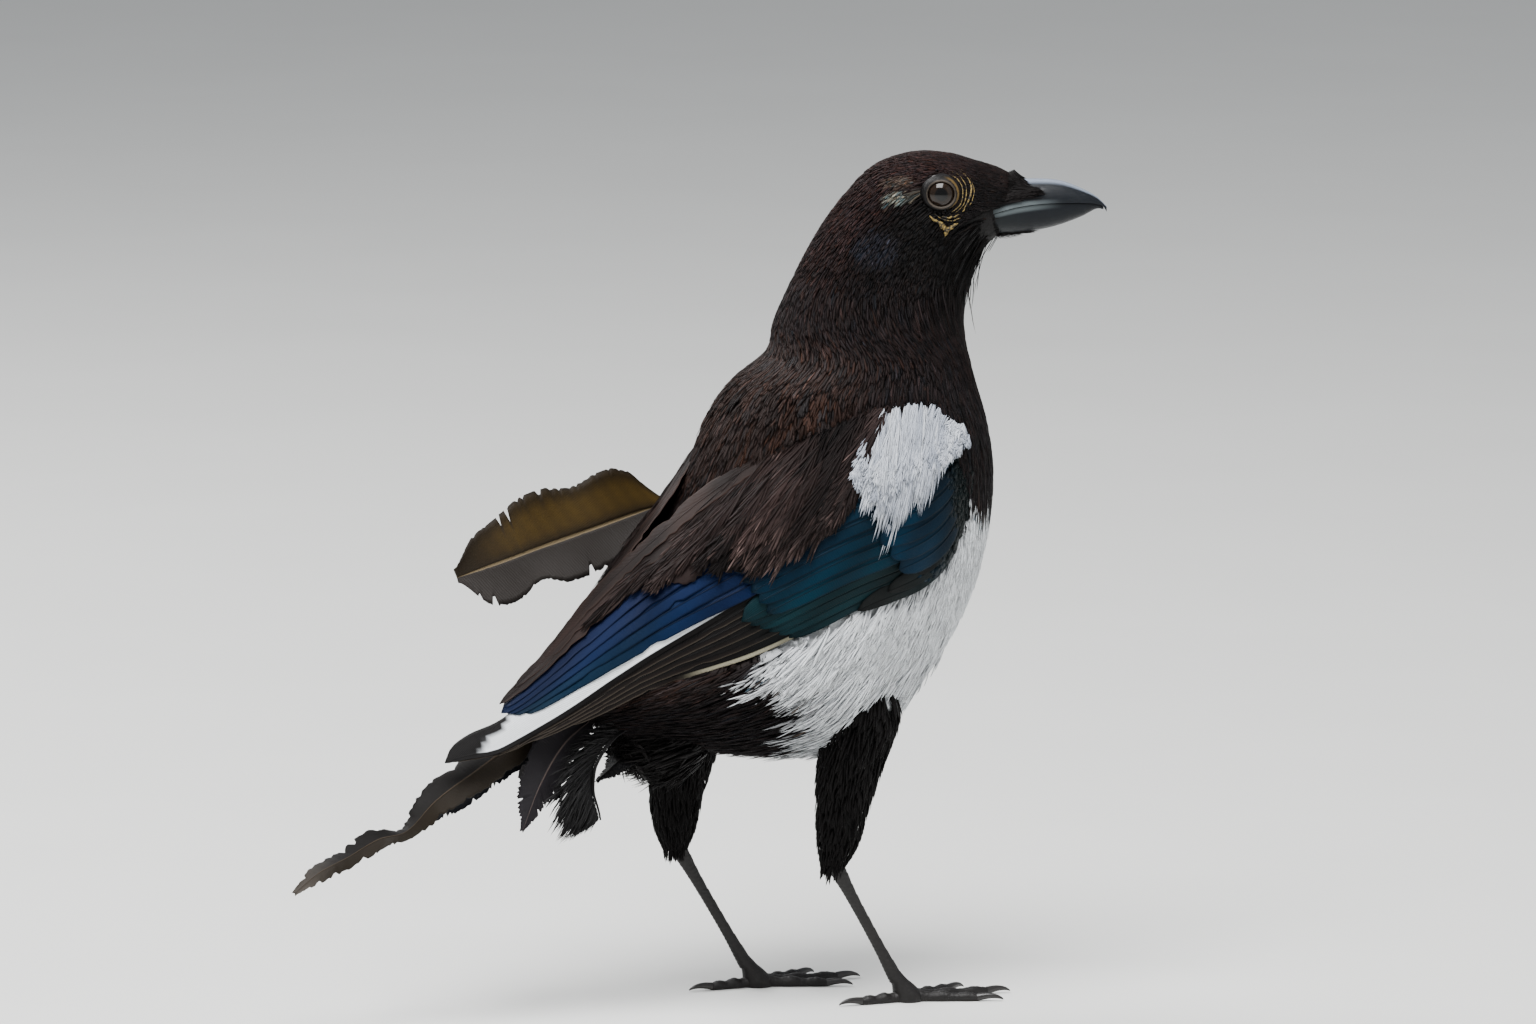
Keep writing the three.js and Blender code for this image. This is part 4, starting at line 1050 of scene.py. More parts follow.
def bill_face(edge):
    """A half's outer face: how far forward, and an angle from its left edge round to its right one."""
    way = 1 if edge == 1 else -1

    def face(x, angle, height=0.0):
        x, angle, height = spread(x, angle, height)
        u = np.interp(x, [row[0] for row in BILL_RINGS], np.linspace(0, 1, len(BILL_RINGS)))
        ring = smooth_run(BILL_RINGS, u)
        rise = (ring[..., edge] - ring[..., 2]) * way + height
        y = (ring[..., 4] + height) * np.cos(angle)
        z = ring[..., 2] + way * rise * np.sin(np.clip(angle, 0.001, 3.14)) ** ROUNDNESS
        return head_turned(np.stack([x, y, z], -1))

    return face


def mirrored_turns(turns):
    return np.where(dice.random(len(turns)) < 0.5, turns, np.pi - turns)


BILL_BAKE = (100.0, ROUND)
NOSTRIL_BRISTLES, CHIN_BRISTLES, GAPE_BRISTLES = 2100, 260, 420
bristles = Bundle()
count = NOSTRIL_BRISTLES
turns = dice.uniform(0.28, 1.62, count)
start = dice.uniform(46, 58.8, count) - 1.5 * np.abs(turns - 0.7)
end = start + dice.uniform(5, 12, count)
end = np.minimum(end, 68.2 - 5.2 * np.abs(turns - 0.42) - dice.uniform(0, 3, count))
lean = (0.42 - turns) * smooth_step(end, 50, 68) * 0.7
start, end, turns, lean = (rows[end - start > 2.5] for rows in (start, end, turns, lean))
count = len(start)
to_left = dice.random(count) < 0.5
tint = srgb(17, 14, 14) * dice.uniform(0.5, 1.6, (count, 1))
add_leaves(
    bristles, bill_face(1), start, np.where(to_left, turns, np.pi - turns), end - start,
    dice.uniform(0.35, 0.6, count), dice.uniform(0.25, 0.9, count), tint, tint * 1.5,
    dice.normal(0, 0.05, count), np.stack([end - start, np.where(to_left, lean, -lean)], -1), 0.1,
    sink=0.3 + 3.0 * smooth_step(start, 50, 57) * smooth_step(turns, 0.4, 1.3), bake=BILL_BAKE,
)
count = CHIN_BRISTLES
turns = mirrored_turns(dice.uniform(1.2, 1.6, count))
start = 47 + 14 * dice.random(count) ** 1.4
tint = srgb(15, 12, 12) * dice.uniform(0.5, 1.5, (count, 1))
length = np.minimum(dice.uniform(3.5, 7, count), dice.uniform(62, 67, count) - start)
add_leaves(
    bristles, bill_face(3), start, turns, length, dice.uniform(0.2, 0.34, count),
    dice.uniform(0.1, 0.35, count), tint, tint, dice.normal(0, 0.12, count), sink=-0.2, bow=0.1,
    sag=hanging(1.9 * dice.random(count) ** 2.5 * (1 - 0.8 * smooth_step(start, 50, 58))),
    bake=BILL_BAKE,
)
count = GAPE_BRISTLES
turns = mirrored_turns(dice.uniform(0.05, 1.1, count))
start = dice.uniform(45.5, 50, count)
tint = srgb(13, 11, 11) * dice.uniform(0.5, 1.5, (count, 1))
add_leaves(
    bristles, bill_face(3), start, turns, dice.uniform(1.2, 3.6, count), dice.uniform(0.3, 0.5, count),
    dice.uniform(0.2, 0.5, count), tint, tint, dice.normal(0, 0.2, count), sink=0.6, bow=0.1,
    bake=BILL_BAKE,
)
bristles.piece("face_bristles", black_plume, "black_feather")

# The wings. Stiff flight feathers lie over one another from the outer primaries up to the last
# tertial, and rows of coverts roof over their roots. Each is a flat keratin vane on a raised shaft.
HALF_ACROSS = (0.03, 0.04, 0.1, 0.25, 0.45, 0.65, 0.85, 1.0)
ACROSS = np.array([*(-share for share in HALF_ACROSS[::-1]), 0, *HALF_ACROSS])
SHAFT_SHARE, SHAFT_RISE, VANE_WAVE = 0.035, 0.16, 0.12
WING_LENGTH = 188


def add_vane(bundle, middle, up, thick, tones, barbs, cells=12):
    """A thin closed vane over rows along its shaft and columns across it."""
    rows, columns = middle.shape[:2]
    layer = rows * columns
    half = up * (thick / 2)[..., None]
    points = np.concatenate([(middle - half).reshape(-1, 3), (middle + half).reshape(-1, 3)])
    index = np.arange(layer).reshape(rows, columns)
    a, d = index[:-1, :-1].ravel(), index[:-1, 1:].ravel()
    b, c = index[1:, :-1].ravel(), index[1:, 1:].ravel()
    under = np.concatenate([np.stack([a, c, b], -1), np.stack([a, d, c], -1)])
    rim = np.concatenate([index[:, 0], index[-1, 1:], index[:-1, -1][::-1], index[0, 1:-1][::-1]])
    after = np.roll(rim, -1)
    sides = [np.stack([rim, after, after + layer], -1), np.stack([rim, after + layer, rim + layer], -1)]
    triangles = np.concatenate([under, under[:, ::-1] + layer, *sides])
    along = middle[-1, columns // 2] - middle[0, columns // 2]
    aside = middle[rows // 2, -1] - middle[rows // 2, 0]
    if np.cross(along, aside) @ up[rows // 2, columns // 2] > 0:
        triangles = triangles[:, ::-1]
    number = len(bundle.feathers)
    corner = np.array([number % cells, (number // cells) % cells]) / cells
    patch = np.stack(grid(np.linspace(0.04, 0.96, rows), np.linspace(0.04, 0.46, columns)), -1)
    bakes = np.stack([corner + patch / cells, corner + (patch + (0, 0.5)) / cells])
    bundle.add(points, triangles, np.stack([tones, tones]), np.stack([barbs, barbs]), bakes)


def worn(stations, depth, notches=0):
    """A worn edge: shares of a vane's width along it, with a few splits between barbs."""
    edge = 1 - depth * dice.random(stations) * dice.random(stations)
    for _ in range(notches):
        at = dice.integers(stations // 4, stations - 4)
        edge[at : at + dice.integers(1, 3)] *= dice.uniform(0.7, 0.92)
    return edge


def wing_vane(
    bundle, side, span, spine, below, above, level, tone, rag=0.06, notches=0, tip=0.86, stations=44,
    taper=2.2, slope=0.16, camber=0.25, thick=0.24,
):
    """One feather of a wing, on a shaft that runs along the wing's sheet."""
    u = np.linspace(0, 1, stations)
    u = u + 0.25 * u * (1 - u)
    s = span[0] + (span[1] - span[0]) * u
    shaft = np.interp(s, *spine) if isinstance(spine, tuple) else smooth_run(spine, u)
    chord = wing_chord(np.clip(s, 0, 1))[:, None]
    round_off = np.sqrt(1 - np.clip((u - tip) / (1.0001 - tip), 0, 1) ** taper)
    root = 0.35 + 0.65 * smooth_step(u, 0, 0.1)
    low = (smooth_run(below, u) * round_off * root * worn(stations, rag, notches))[:, None]
    high = (smooth_run(above, u) * round_off * root * worn(stations, rag, notches))[:, None]
    v = ACROSS[None, :]
    offset = np.where(v < 0, v * low, v * high)
    height = smooth_run(level, u)[:, None] - slope * offset
    s, t, u, v = spread(s[:, None], shaft[:, None] + offset / chord, u[:, None], v)
    height = height + SHAFT_RISE * (np.abs(v) < SHAFT_SHARE) * (1 - 0.6 * u)
    widest = max(smooth_run(above, 0.5), 1e-6)
    height = height + camber * np.sin(np.pi * np.clip(offset / widest, 0, 1)) * (v > 0)
    wave = VANE_WAVE * np.sin(s * 60 + dice.uniform(0, 6)) * np.abs(v)
    middle = wing_face(side)(s, t, height + wave)
    thick = np.full(t.shape, thick) * (1 - 0.5 * np.abs(v))
    barbs = np.stack([offset, u * ((span[1] - span[0]) * WING_LENGTH)], -1)
    add_vane(bundle, middle, wing_out(s, t) * (1, side, 1), thick, tone(s, t, u, v, offset), barbs)


BLUE, DEEP_BLUE, VIOLET, TEAL = srgb(5, 23, 54), srgb(6, 15, 30), srgb(11, 20, 48), srgb(3, 33, 46)
GREEN_BLACK, BROWN, DARK_BROWN = srgb(7, 20, 21), srgb(25, 19, 17), srgb(11, 9, 9)
CREAM, STRIP_WHITE = srgb(176, 170, 146), srgb(224, 227, 230)


def vane_tones(tone, gloss, v, shaft=1.0):
    """A vane's colours with their gloss, and with a darker shaft."""
    tone = tone * (1 - (1 - shaft) * (np.abs(v) < SHAFT_SHARE))[..., None]
    return np.concatenate([tone, np.broadcast_to(gloss, v.shape)[..., None]], -1)


def primary_tone(pale):
    def tone(s, t, u, v, offset):
        base = mixed(BROWN, DARK_BROWN, 0.35 + 0.65 * smooth_step(v, -0.5, 0.1))
        base = mixed(base, srgb(84, 76, 66), 0.6 * smooth_step(-v, 0.7, 1.0))
        if pale:
            here = smooth_step(s, 0.3, 0.36) * (1 - smooth_step(s, 0.56, 0.64))
            base = mixed(base, CREAM, here * smooth_step(-v, 0.05, 0.3))
        base = mixed(base, GREEN_BLACK, 0.7 * (1 - smooth_step(s, 0.36, 0.55)))
        return vane_tones(base, 0.12, v, 0.35)
    return tone


def white_primary_tone(s, t, u, v, offset):
    high = np.interp(s, (0.3, 0.8, 0.9, 0.95), (40, 40, 4.6, 3.2))
    inside = smooth_step(v, 0.0, 0.03) * (1 - smooth_step(offset, high - 0.4, high))
    inside = inside * (1 - smooth_step(s + 0.004 * offset, 0.935, 0.95))
    return vane_tones(mixed(DARK_BROWN, STRIP_WHITE, inside), 0.05, v)


def secondary_tone(place):
    """Blue over teal, from the lowest secondary at 0 to the uppermost at 1."""
    def tone(s, t, u, v, offset):
        blue = mixed(BLUE, VIOLET, 0.7 * smooth_step(place, 0.3, 1.0))
        blue = blue * (1 + 0.22 * np.sin(s * 37 + t * 9))[..., None]
        teal = mixed(blue, TEAL, (1 - smooth_step(place, 0.1, 0.6)) * smooth_step(s, 0.5, 0.85) * 0.75)
        outer = 1 - smooth_step(v, 0.4, 0.85)
        base = mixed(mixed(DARK_BROWN, teal, outer), DEEP_BLUE, 0.4 * smooth_step(s, 0.78, 0.9))
        base = mixed(base, DARK_BROWN, 0.3 * smooth_step(-v, 0.75, 1.0))
        return vane_tones(base, 0.4 * outer, v, 0.5)
    return tone


def mantle_cloud(s, t):
    """Broad worn patches, from 0 to 1, over the brown of the mantle."""
    waves = np.sin(31 * s + 4 * t) + np.sin(17 * t - 22 * s + 1.0) + np.sin(48 * s + 23 * t + 2.0)
    return smooth_step(0.5 + 0.25 * waves, 0.1, 1.1)


def tertial_tone(s, t, u, v, offset):
    base = mixed(DARK_BROWN, srgb(44, 33, 30), 0.3 + 0.6 * mantle_cloud(s, t))
    base = mixed(base, srgb(62, 47, 41), 0.6 * smooth_step(np.abs(v), 0.8, 1.0))
    return vane_tones(base, 0.0, v, 0.6)


def covert_tone(one, other, gloss):
    fade = dice.uniform(0.75, 1.2)

    def tone(s, t, u, v, offset):
        base = mixed(one, other, smooth_step(u, 0.2, 0.95))
        base = base * (fade * (1 + 0.18 * np.sin(s * 53 + t * 21)))[..., None]
        edge = np.maximum(smooth_step(np.abs(v), 0.8, 1.0), smooth_step(u, 0.93, 1.0))
        return vane_tones(base * (1 - 0.45 * edge)[..., None], gloss, v, 0.6)
    return tone


# The wing's lower outline and the foot of the white primary: places along it, and shares of its depth.
OUTLINE = ((0.2, 0.28, 0.5, 0.7, 0.8, 0.9, 1.0), (0.03, 0.03, 0.02, 0.0, -0.1, -0.2, 0.1))
WHITE_FOOT = (
    (0.2, 0.28, 0.45, 0.58, 0.68, 0.74, 0.81, 0.92, 1.0),
    (0.34, 0.36, 0.38, 0.31, 0.25, 0.19, 0.08, -0.08, 0.25),
)
PRIMARY_TIPS, WHITE_TIP = [0.8, 0.86, 0.915, 0.96, 0.995], 1.005
SECONDARY_TIPS = [0.862, 0.88, 0.89, 0.9, 0.895]
TERTIALS = ((0.84, 0.9, 4.5), (0.92, 0.87, 4), (1.0, 0.79, 3.5))
PRIMARY_STEPS = np.linspace(0.24, 1.01, 40)
# Height of the coverts' bed over the sheet, from the wrist backwards.
BED_PLACES, BED_HEIGHTS = (0, 0.1, 0.2, 0.3, 0.4, 1), (1.9, 3.1, 3.6, 4.0, 3.0, 3.0)
BED_RISE = np.array([0, 0.6, 0.85, 0.95, 1])
# Rows of coverts. Each vane has a lower edge, a front end, a rear end and a width; each row has the
# line of its shafts, its widths under and over them, its rise from the bed, the colours of its roots
# and of its lowest and uppermost tips, its gloss and its edges.
GREEN, OLIVE_BLACK, DEEP_TEAL = srgb(6, 36, 42), srgb(15, 18, 18), srgb(4, 38, 58)
COVERTS = [
    (
        [(0.02 + 0.042 * n, 0.12, 0.45 + 0.012 * n, 1) for n in range(6)], (0.05, 0.045, 0.04, 0.03),
        (1.6, 1.7, 1.5), (5, 6, 5), (-1.4, 0.1), (GREEN_BLACK, GREEN, GREEN), 0.35,
        {"rag": 0.05, "tip": 0.85, "stations": 28},
    ),
    (
        [(0.2 + 0.075 * n, 0.12, 0.47 + 0.006 * n, 1) for n in range(6)], (0.05, 0.05, 0.05),
        (2.2, 2.8, 2.4), (6, 7.5, 6.5), (-1.2, 0.6), (srgb(3, 30, 42), TEAL, BLUE), 0.45,
        {"rag": 0.06, "tip": 0.8, "stations": 28, "taper": 2.6},
    ),
    (
        [(-0.005, 0.03, 0.35, 3.2), (0.035, 0.03, 0.29, 3.0), (0.07, 0.03, 0.22, 2.8)],
        (0.05, 0.045, 0.035), (1.6, 1.8, 1.5), (1, 1.4, 1), (-1.0, 0.6),
        (srgb(5, 27, 30), OLIVE_BLACK, OLIVE_BLACK), 0.3,
        {"rag": 0.04, "tip": 0.8, "stations": 24},
    ),
    (
        [(0.12 + 0.085 * n, 0.045, 0.262 + 0.012 * (n % 3), 1) for n in range(5)], (0.05, 0.05, 0.05),
        (2.4, 3.2, 2.8), (5, 6, 5), (-1.0, 1.2), (srgb(3, 24, 38), DEEP_TEAL, DEEP_TEAL), 0.45,
        {"rag": 0.06, "tip": 0.72, "stations": 22, "taper": 2.4},
    ),
]
WRIST_COVERTS = 700


def foot_line(share, gap):
    """The shaft of a primary, over a lower edge between the wing's outline and the white primary."""
    low, high = (np.interp(PRIMARY_STEPS, *line) for line in (OUTLINE, WHITE_FOOT))
    return PRIMARY_STEPS, low + (high - low) * share + gap / wing_chord(np.clip(PRIMARY_STEPS, 0, 1))


def bed_height(s):
    return np.interp(s, BED_PLACES, BED_HEIGHTS)


def bed(front, rear, start, end):
    return bed_height(front + (rear - front) * np.linspace(0, 1, 5)) + start + (end - start) * BED_RISE


wing_plume = plume_material("wing_vanes", 1.9, 0.48, 0.3, 0.7, 0.1)
for name, side in SIDES.items():
    bundle = Bundle()
    for number, tip in enumerate(PRIMARY_TIPS):
        wing_vane(
            bundle, side, (0.26, tip), foot_line(number / len(PRIMARY_TIPS), 1.3), [1.3] * 3,
            [9, 9, 8, 6.5, 4.5, 3.5], [1.4, 1.9, 1.9, 1.7], primary_tone(number == 0), 0.1, 3, 0.9,
        )
    wing_vane(
        bundle, side, (0.28, WHITE_TIP), foot_line(1.0, 1.2), [1.2] * 3, [12, 12, 12, 11, 9.5, 8.5, 7],
        [1.5, 2.2, 2.3, 2.1], white_primary_tone, 0.04, 0, 0.9, stations=64, slope=0.1, camber=0.6,
    )
    for number, tip in enumerate(SECONDARY_TIPS):
        line = 0.375 + 0.1 * number + np.array([0.05, 0.06, 0.07, 0.07, 0.1])
        wing_vane(
            bundle, side, (0.28, tip), line, [2.6, 2.9, 3.0, 2.8, 2.2], [8, 9, 8.5, 7, 4.5],
            [1.7, 2.4, 2.6, 2.6, 2.4], secondary_tone(number / 4), 0.05, 1, 0.9, taper=3,
        )
    for low, tip, width in TERTIALS:
        wing_vane(
            bundle, side, (0.36, tip), low + np.array([0.02, 0.08, 0.1, 0.12]), [2.4, 3.0, 2.8, 2.2],
            width * np.array([1, 1, 0.9, 0.6]), [2.6, 3.2, 3.5, 3.3], tertial_tone, 0.3, 6, 0.8,
        )
    for places, line, under, over, rise, (root, lowest, uppermost), gloss, edges in COVERTS:
        for number, (low, front, rear, width) in enumerate(places):
            tone = covert_tone(root, mixed(lowest, uppermost, number / 8), gloss)
            wing_vane(
                bundle, side, (front, rear), low + np.array(line), under, np.array(over) * width,
                bed(front, rear, *rise), tone, **edges,
            )
    bundle.piece("wing_vanes_" + name, wing_plume, "wing_feather", "wing_" + name)

    first = dice.uniform(-0.01, 0.17, WRIST_COVERTS)
    second = dice.uniform(0.03, 0.66, WRIST_COVERTS)
    kept = second < 0.66 - 1.4 * np.maximum(first - 0.05, 0)
    first, second, count = first[kept], second[kept], int(kept.sum())
    tint = mixed(srgb(6, 15, 16), srgb(4, 36, 54), smooth_step(first + 0.2 * second, 0.1, 0.26))
    tint = tint * dice.uniform(0.7, 1.2, (count, 1))
    size, height = 4.5 + 16 * first, bed_height(first)
    small = Bundle()
    add_leaves(
        small, wing_face(side), first, second, size * dice.uniform(0.8, 1.2, count), size * 0.5,
        height + dice.uniform(0.6, 0.9, count), tint, tint * 1.2, dice.normal(0, 0.12, count),
        gloss=0.45, sink=height - 0.9, bow=0.25, scale=(0.1, 0.1), bake=(1.0, 1.0),
    )
    small.piece("wrist_coverts_" + name, wing_plume, "wing_feather")

# The scapulars. A white patch of long soft feathers hangs over each shoulder with ragged ends, and
# brown-black ones with worn paler ends reach back from the mantle over the blue of the wing.

# Each patch has a line of roots and one of tips on the wing's sheet, its heights over it at either
# end, and how far it sinks into the back.
WHITE_PATCH = (
    [
        (-0.022, 0.62), (-0.008, 0.82), (0.008, 1.0), (0.04, 1.13), (0.105, 1.09), (0.17, 0.97),
        (0.225, 0.88),
    ],
    [(0.02, 0.64), (0.085, 0.6), (0.14, 0.57), (0.2, 0.52), (0.262, 0.47), (0.29, 0.53), (0.292, 0.68)],
    (5.2, 5.9), 2.0,
)
BLACK_PATCH = (
    [(0.18, 0.96), (0.13, 1.06), (0.16, 1.15), (0.2, 1.15), (0.28, 1.12), (0.36, 1.09)],
    [
        (0.32, 0.58), (0.37, 0.5), (0.43, 0.48), (0.47, 0.45), (0.53, 0.54), (0.58, 0.63), (0.66, 0.78),
        (0.74, 0.93),
    ],
    (5.6, 4.9), 2.9,
)
SHOULDER = (0.84, 1.12)
# The darkest tone, the most worn tone and the tips of each patch. On the white patch the darkest is its
# grey cast with painted shade between the strands, the middle one is its white, and the grey-blue tips
# are painted shade.
MANTLE_TONES = (srgb(12, 9, 9), srgb(50, 38, 36), srgb(128, 106, 101))
WHITE_AND_SHADE_TONES = (srgb(150, 156, 168), srgb(208, 212, 218), srgb(130, 138, 154))
MANTLE_ROWS, MANTLE_PLACES, MANTLE_HALF = 3, 7, [3, 6.5, 6.5, 4]
# The far side's soft feathers have fewer and wider barbs: how many on each, and how wide.
BARBS = {
    "right": ((48, (0.34, 0.56)), (40, (0.5, 0.95))),
    "left": ((32, (0.45, 0.75)), (26, (0.7, 1.2))),
}


def scapular_coat(
    name, node, side, patch, feathers, barbs, long, wide, tones, evenness, material, slot, gloss, cloudy
):
    """A patch of long soft feathers, whose roots and tips run along two lines on the wing's sheet."""
    roots, tips, floor, drop = patch
    u, x = dice.uniform(-0.06, 0.74, feathers), dice.uniform(0.0, 1.0, feathers)
    near, far = smooth_run(roots, x), smooth_run(tips, x)
    spots, way = near + (far - near) * u[:, None], far - near
    reach = wing_face(side)(*far.T, 4.0) - wing_face(side)(*spots.T, 4.0)
    left_over = np.linalg.norm(reach, axis=1) + dice.uniform(-9, 0, feathers)
    length = np.minimum(dice.uniform(*long, feathers), np.maximum(left_over, 6))
    level = floor[0] + (floor[1] - floor[0]) * np.clip(u, 0, 1) + dice.uniform(-0.2, 0.7, feathers)
    level = level - drop * smooth_step(spots[:, 1], *SHOULDER) * smooth_step(spots[:, 0], 0.06, 0.15)
    cloud = mantle_cloud(*spots.T)
    own = mixed(tones[0], tones[1], cloudy * cloud + (1 - cloudy) * dice.random(feathers))
    owner, start, share, ahead, span, slant = barbs_of(feathers, barbs[0], length, wide)
    count = len(owner)
    tint = own[owner] * dice.uniform(0.78, 1.2, (count, 1)) ** evenness
    end = smooth_step(np.maximum(start, np.abs(share) - 0.3), 0.3, 0.7)
    # The tips take the patch's tip tone: worn and paler on the brown patch, painted shade on the white
    # one.
    tip = mixed(tint, tones[2], end * dice.random(count) ** 2 * cloud[owner])
    foot = level[owner] - 1.5 + 1.4 * np.maximum(start, 0)
    sag = hanging(dice.uniform(0, 0.08, count) * span)
    bundle = Bundle()
    add_leaves(
        bundle, wing_face(side), *spots[owner].T, span, dice.uniform(*barbs[1], count),
        foot + dice.uniform(0.6, 1.2, count) - 0.5 * share ** 2, tint, tip,
        slant + dice.normal(0, 0.04, count), way[owner], gloss, ahead, foot, 0.12, sag,
        scale=(0.1, 0.1), bake=(1.0, 1.0),
    )
    bundle.piece(name, material, slot, node)


def mantle_tone(s, t, u, v, offset):
    return vane_tones(mixed(*MANTLE_TONES[:2], 0.6 * mantle_cloud(s, t)), 0.0, v)


def mantle_level(spot, row):
    return 3.1 - 0.5 * row - 3.4 * float(smooth_step(spot[1], *SHOULDER))


for name, side in SIDES.items():
    white_barbs, brown_barbs = BARBS[name]
    scapular_coat(
        "white_scapulars_" + name, "scapulars_white_" + name, side, WHITE_PATCH, 150, white_barbs,
        (20, 34), 4.4, WHITE_AND_SHADE_TONES, 0.45, white_plume, "white_feather", 0.05, 0.2,
    )
    mantle = Bundle()
    for row in range(MANTLE_ROWS):
        for place in range(MANTLE_PLACES):
            x = 0.88 * (place + 0.5 * (row % 2) + dice.uniform(0.1, 0.5)) / MANTLE_PLACES
            near, far = smooth_run(BLACK_PATCH[0], x), smooth_run(BLACK_PATCH[1], x)
            start, end = (near + (far - near) * (share - 0.19 * row) for share in (0.55, 0.92))
            line = [start[1], (start[1] + end[1]) / 2, end[1]]
            level = [mantle_level(start, row), mantle_level(end, row) + 0.5]
            wing_vane(
                mantle, side, (start[0], end[0]), line, MANTLE_HALF, MANTLE_HALF, level, mantle_tone,
                0.4, 4, 0.6, stations=18, slope=0.04, camber=0.3, thick=0.2,
            )
    mantle.piece("mantle_vanes_" + name, black_plume, "black_feather")
    scapular_coat(
        "brown_scapulars_" + name, "scapulars_black_" + name, side, BLACK_PATCH, 190, brown_barbs,
        (22, 36), 7.5, MANTLE_TONES, 1.0, black_plume, "black_feather", 0.1, 0.75,
    )

# The loose feather of the left wing, and the worn tail with the feathers that hang under it. Each
# is a flat vane on either side of a tapering shaft, with splits where the barbs have parted.
VANE_STATIONS = 110
LONG_SHAFT_RISE, WEB_BOW, WEB_CURL = 0.25, 0.5, 0.035


def shaft_feather(
    bundle, shaft, upper, lower, facing, tone, rag=0.12, notches=4, slant=0.25, wave=0.5, waves=14
):
    u = np.linspace(0, 1, VANE_STATIONS)
    spots = bent_line(shaft, u)
    length = np.linalg.norm(np.diff(spots, axis=0), axis=1).sum()
    way = unit(np.gradient(spots, axis=0))
    out = np.array(facing, float) / np.linalg.norm(facing)
    across = unit(np.cross(way, out))
    above = smooth_run(upper, u) * worn(VANE_STATIONS, rag, notches)
    below = smooth_run(lower, u) * worn(VANE_STATIONS, rag, notches)
    u, v, above, below = spread(u[:, None], ACROSS[None], above[:, None], below[:, None])
    offset = v * np.where(v < 0, above, below)
    lean = np.abs(offset) * slant
    middle = spots[:, None] + across[:, None] * offset[..., None] + way[:, None] * lean[..., None]
    raised = LONG_SHAFT_RISE * (np.abs(v) < SHAFT_SHARE) * (1 - 0.7 * u)
    height = WEB_BOW * (1 - np.abs(v)) - WEB_CURL * offset ** 2 / 3 + raised
    height = height + wave * np.sin(u * waves + 1.3) * v ** 2
    middle = middle + out * height[..., None]
    thick = 0.3 * (1 - 0.5 * np.abs(v)) * (1 - 0.3 * u)
    barbs = np.stack([offset, u * length], -1)
    add_vane(bundle, middle, np.broadcast_to(out, middle.shape), thick, tone(u, v), barbs, 6)


def two_webs(upper, lower, shaft, tip=None):
    def tone(u, v):
        base = mixed(upper, lower, smooth_step(v, -0.02, 0.02))
        base = mixed(base, upper if tip is None else tip, smooth_step(u, 0.75, 1.0) * 0.8)
        return vane_tones(mixed(base, shaft, 1.0 * (np.abs(v) < SHAFT_SHARE)), 0.15, v)
    return tone


def loose_tone(u, v):
    """Painted glow: olive where light would come through the upper web, and browner towards its edge and
    below.
    """
    glow = smooth_step(-v, 0.0, 0.35) * (1 - smooth_step(-v, 0.6, 1.0))
    glow = glow * (1 - smooth_step(u, 0.6, 0.95))
    stripes = 0.5 + 0.5 * np.sin(u * 90 + 6 * v)
    base = mixed(srgb(34, 26, 15), srgb(72, 55, 22), glow * (0.75 + 0.25 * stripes))
    base = mixed(base, srgb(36, 31, 28), smooth_step(v, -0.02, 0.02))
    base = mixed(base, srgb(24, 20, 18), 0.5 * smooth_step(np.abs(v), 0.8, 1.0))
    return vane_tones(mixed(base, srgb(104, 90, 66), 1.0 * (np.abs(v) < SHAFT_SHARE)), 0.12, v)


vane_plume = plume_material("loose_vanes", 1.7, 0.5, 0.4, 0.9, 0.2)
loose = Bundle()
shaft_feather(
    loose, [(-44, 20, 149), (-61, 19.5, 144.8), (-79, 20, 140), (-96, 20, 135.5), (-113.4, 20, 131)],
    [2, 14, 15.8, 14.3, 17, 16.2, 12.8, 9.8, 2.8], [1, 6, 10.5, 12.4, 12.6, 9.2, 12.6, 11, 1.5],
    (0.35, 0.9, -0.1), loose_tone, 0.07, 3, 0.1, 0.8, 17,
)
loose.piece("loose_wing_feather", vane_plume, "wing_feather")

# The tail's feathers: the shaft's corners, half the width along it, the way that it faces, its
# colours, and how it is worn and waved.
TAIL_FEATHERS = [
    (
        [
            (-78, 0, 92), (-100, -2, 86), (-121, -4, 75.5), (-133, -5, 68.5), (-142.6, -5, 60.2),
            (-151.4, -5, 58.6), (-161.5, -5, 54), (-171, -5, 50), (-179, -5, 44.5),
        ],
        [3, 6, 5.8, 4.8, 2.1, 3.8, 3.2, 2.8, 0.8], (-0.3, -0.85, 0.45),
        two_webs(srgb(33, 26, 17), srgb(17, 14, 13), srgb(66, 54, 42), srgb(84, 78, 72)),
        (0.3, 7, 0.7, 0.9, 20),
    ),
    (
        [(-78, 3, 90), (-100, 3, 82), (-120, 3, 70.5), (-138, 2, 60)], [3, 6, 7, 6.2, 4.4, 1],
        (-0.3, -0.5, 0.8), two_webs(srgb(15, 17, 23), srgb(14, 13, 13), srgb(34, 30, 26)),
        (0.2, 5, 0.7),
    ),
    (
        [(-80, -3, 90), (-92, -7, 83), (-100, -8, 72), (-106, -8, 58.5)], [3, 7, 7.6, 6.4, 3.8, 0.6],
        (0.1, -1, 0.1), two_webs(srgb(29, 25, 30), srgb(22, 19, 23), srgb(84, 72, 68)), (0.16, 4, 0.8),
    ),
    (
        [(-78, 5, 88), (-90, 8, 80), (-98, 9, 71)], [3, 6, 7, 5, 1],
        (-0.2, 0.9, 0.3), two_webs(srgb(24, 20, 22), srgb(21, 18, 18), srgb(54, 48, 42)), (),
    ),
]
tail = Bundle()
for shaft, half, facing, tone, wear_and_highlight in TAIL_FEATHERS:
    shaft_feather(tail, shaft, half, half, facing, tone, *wear_and_highlight)
tail.piece("tail_vanes", vane_plume, "tail_feather", "tail")

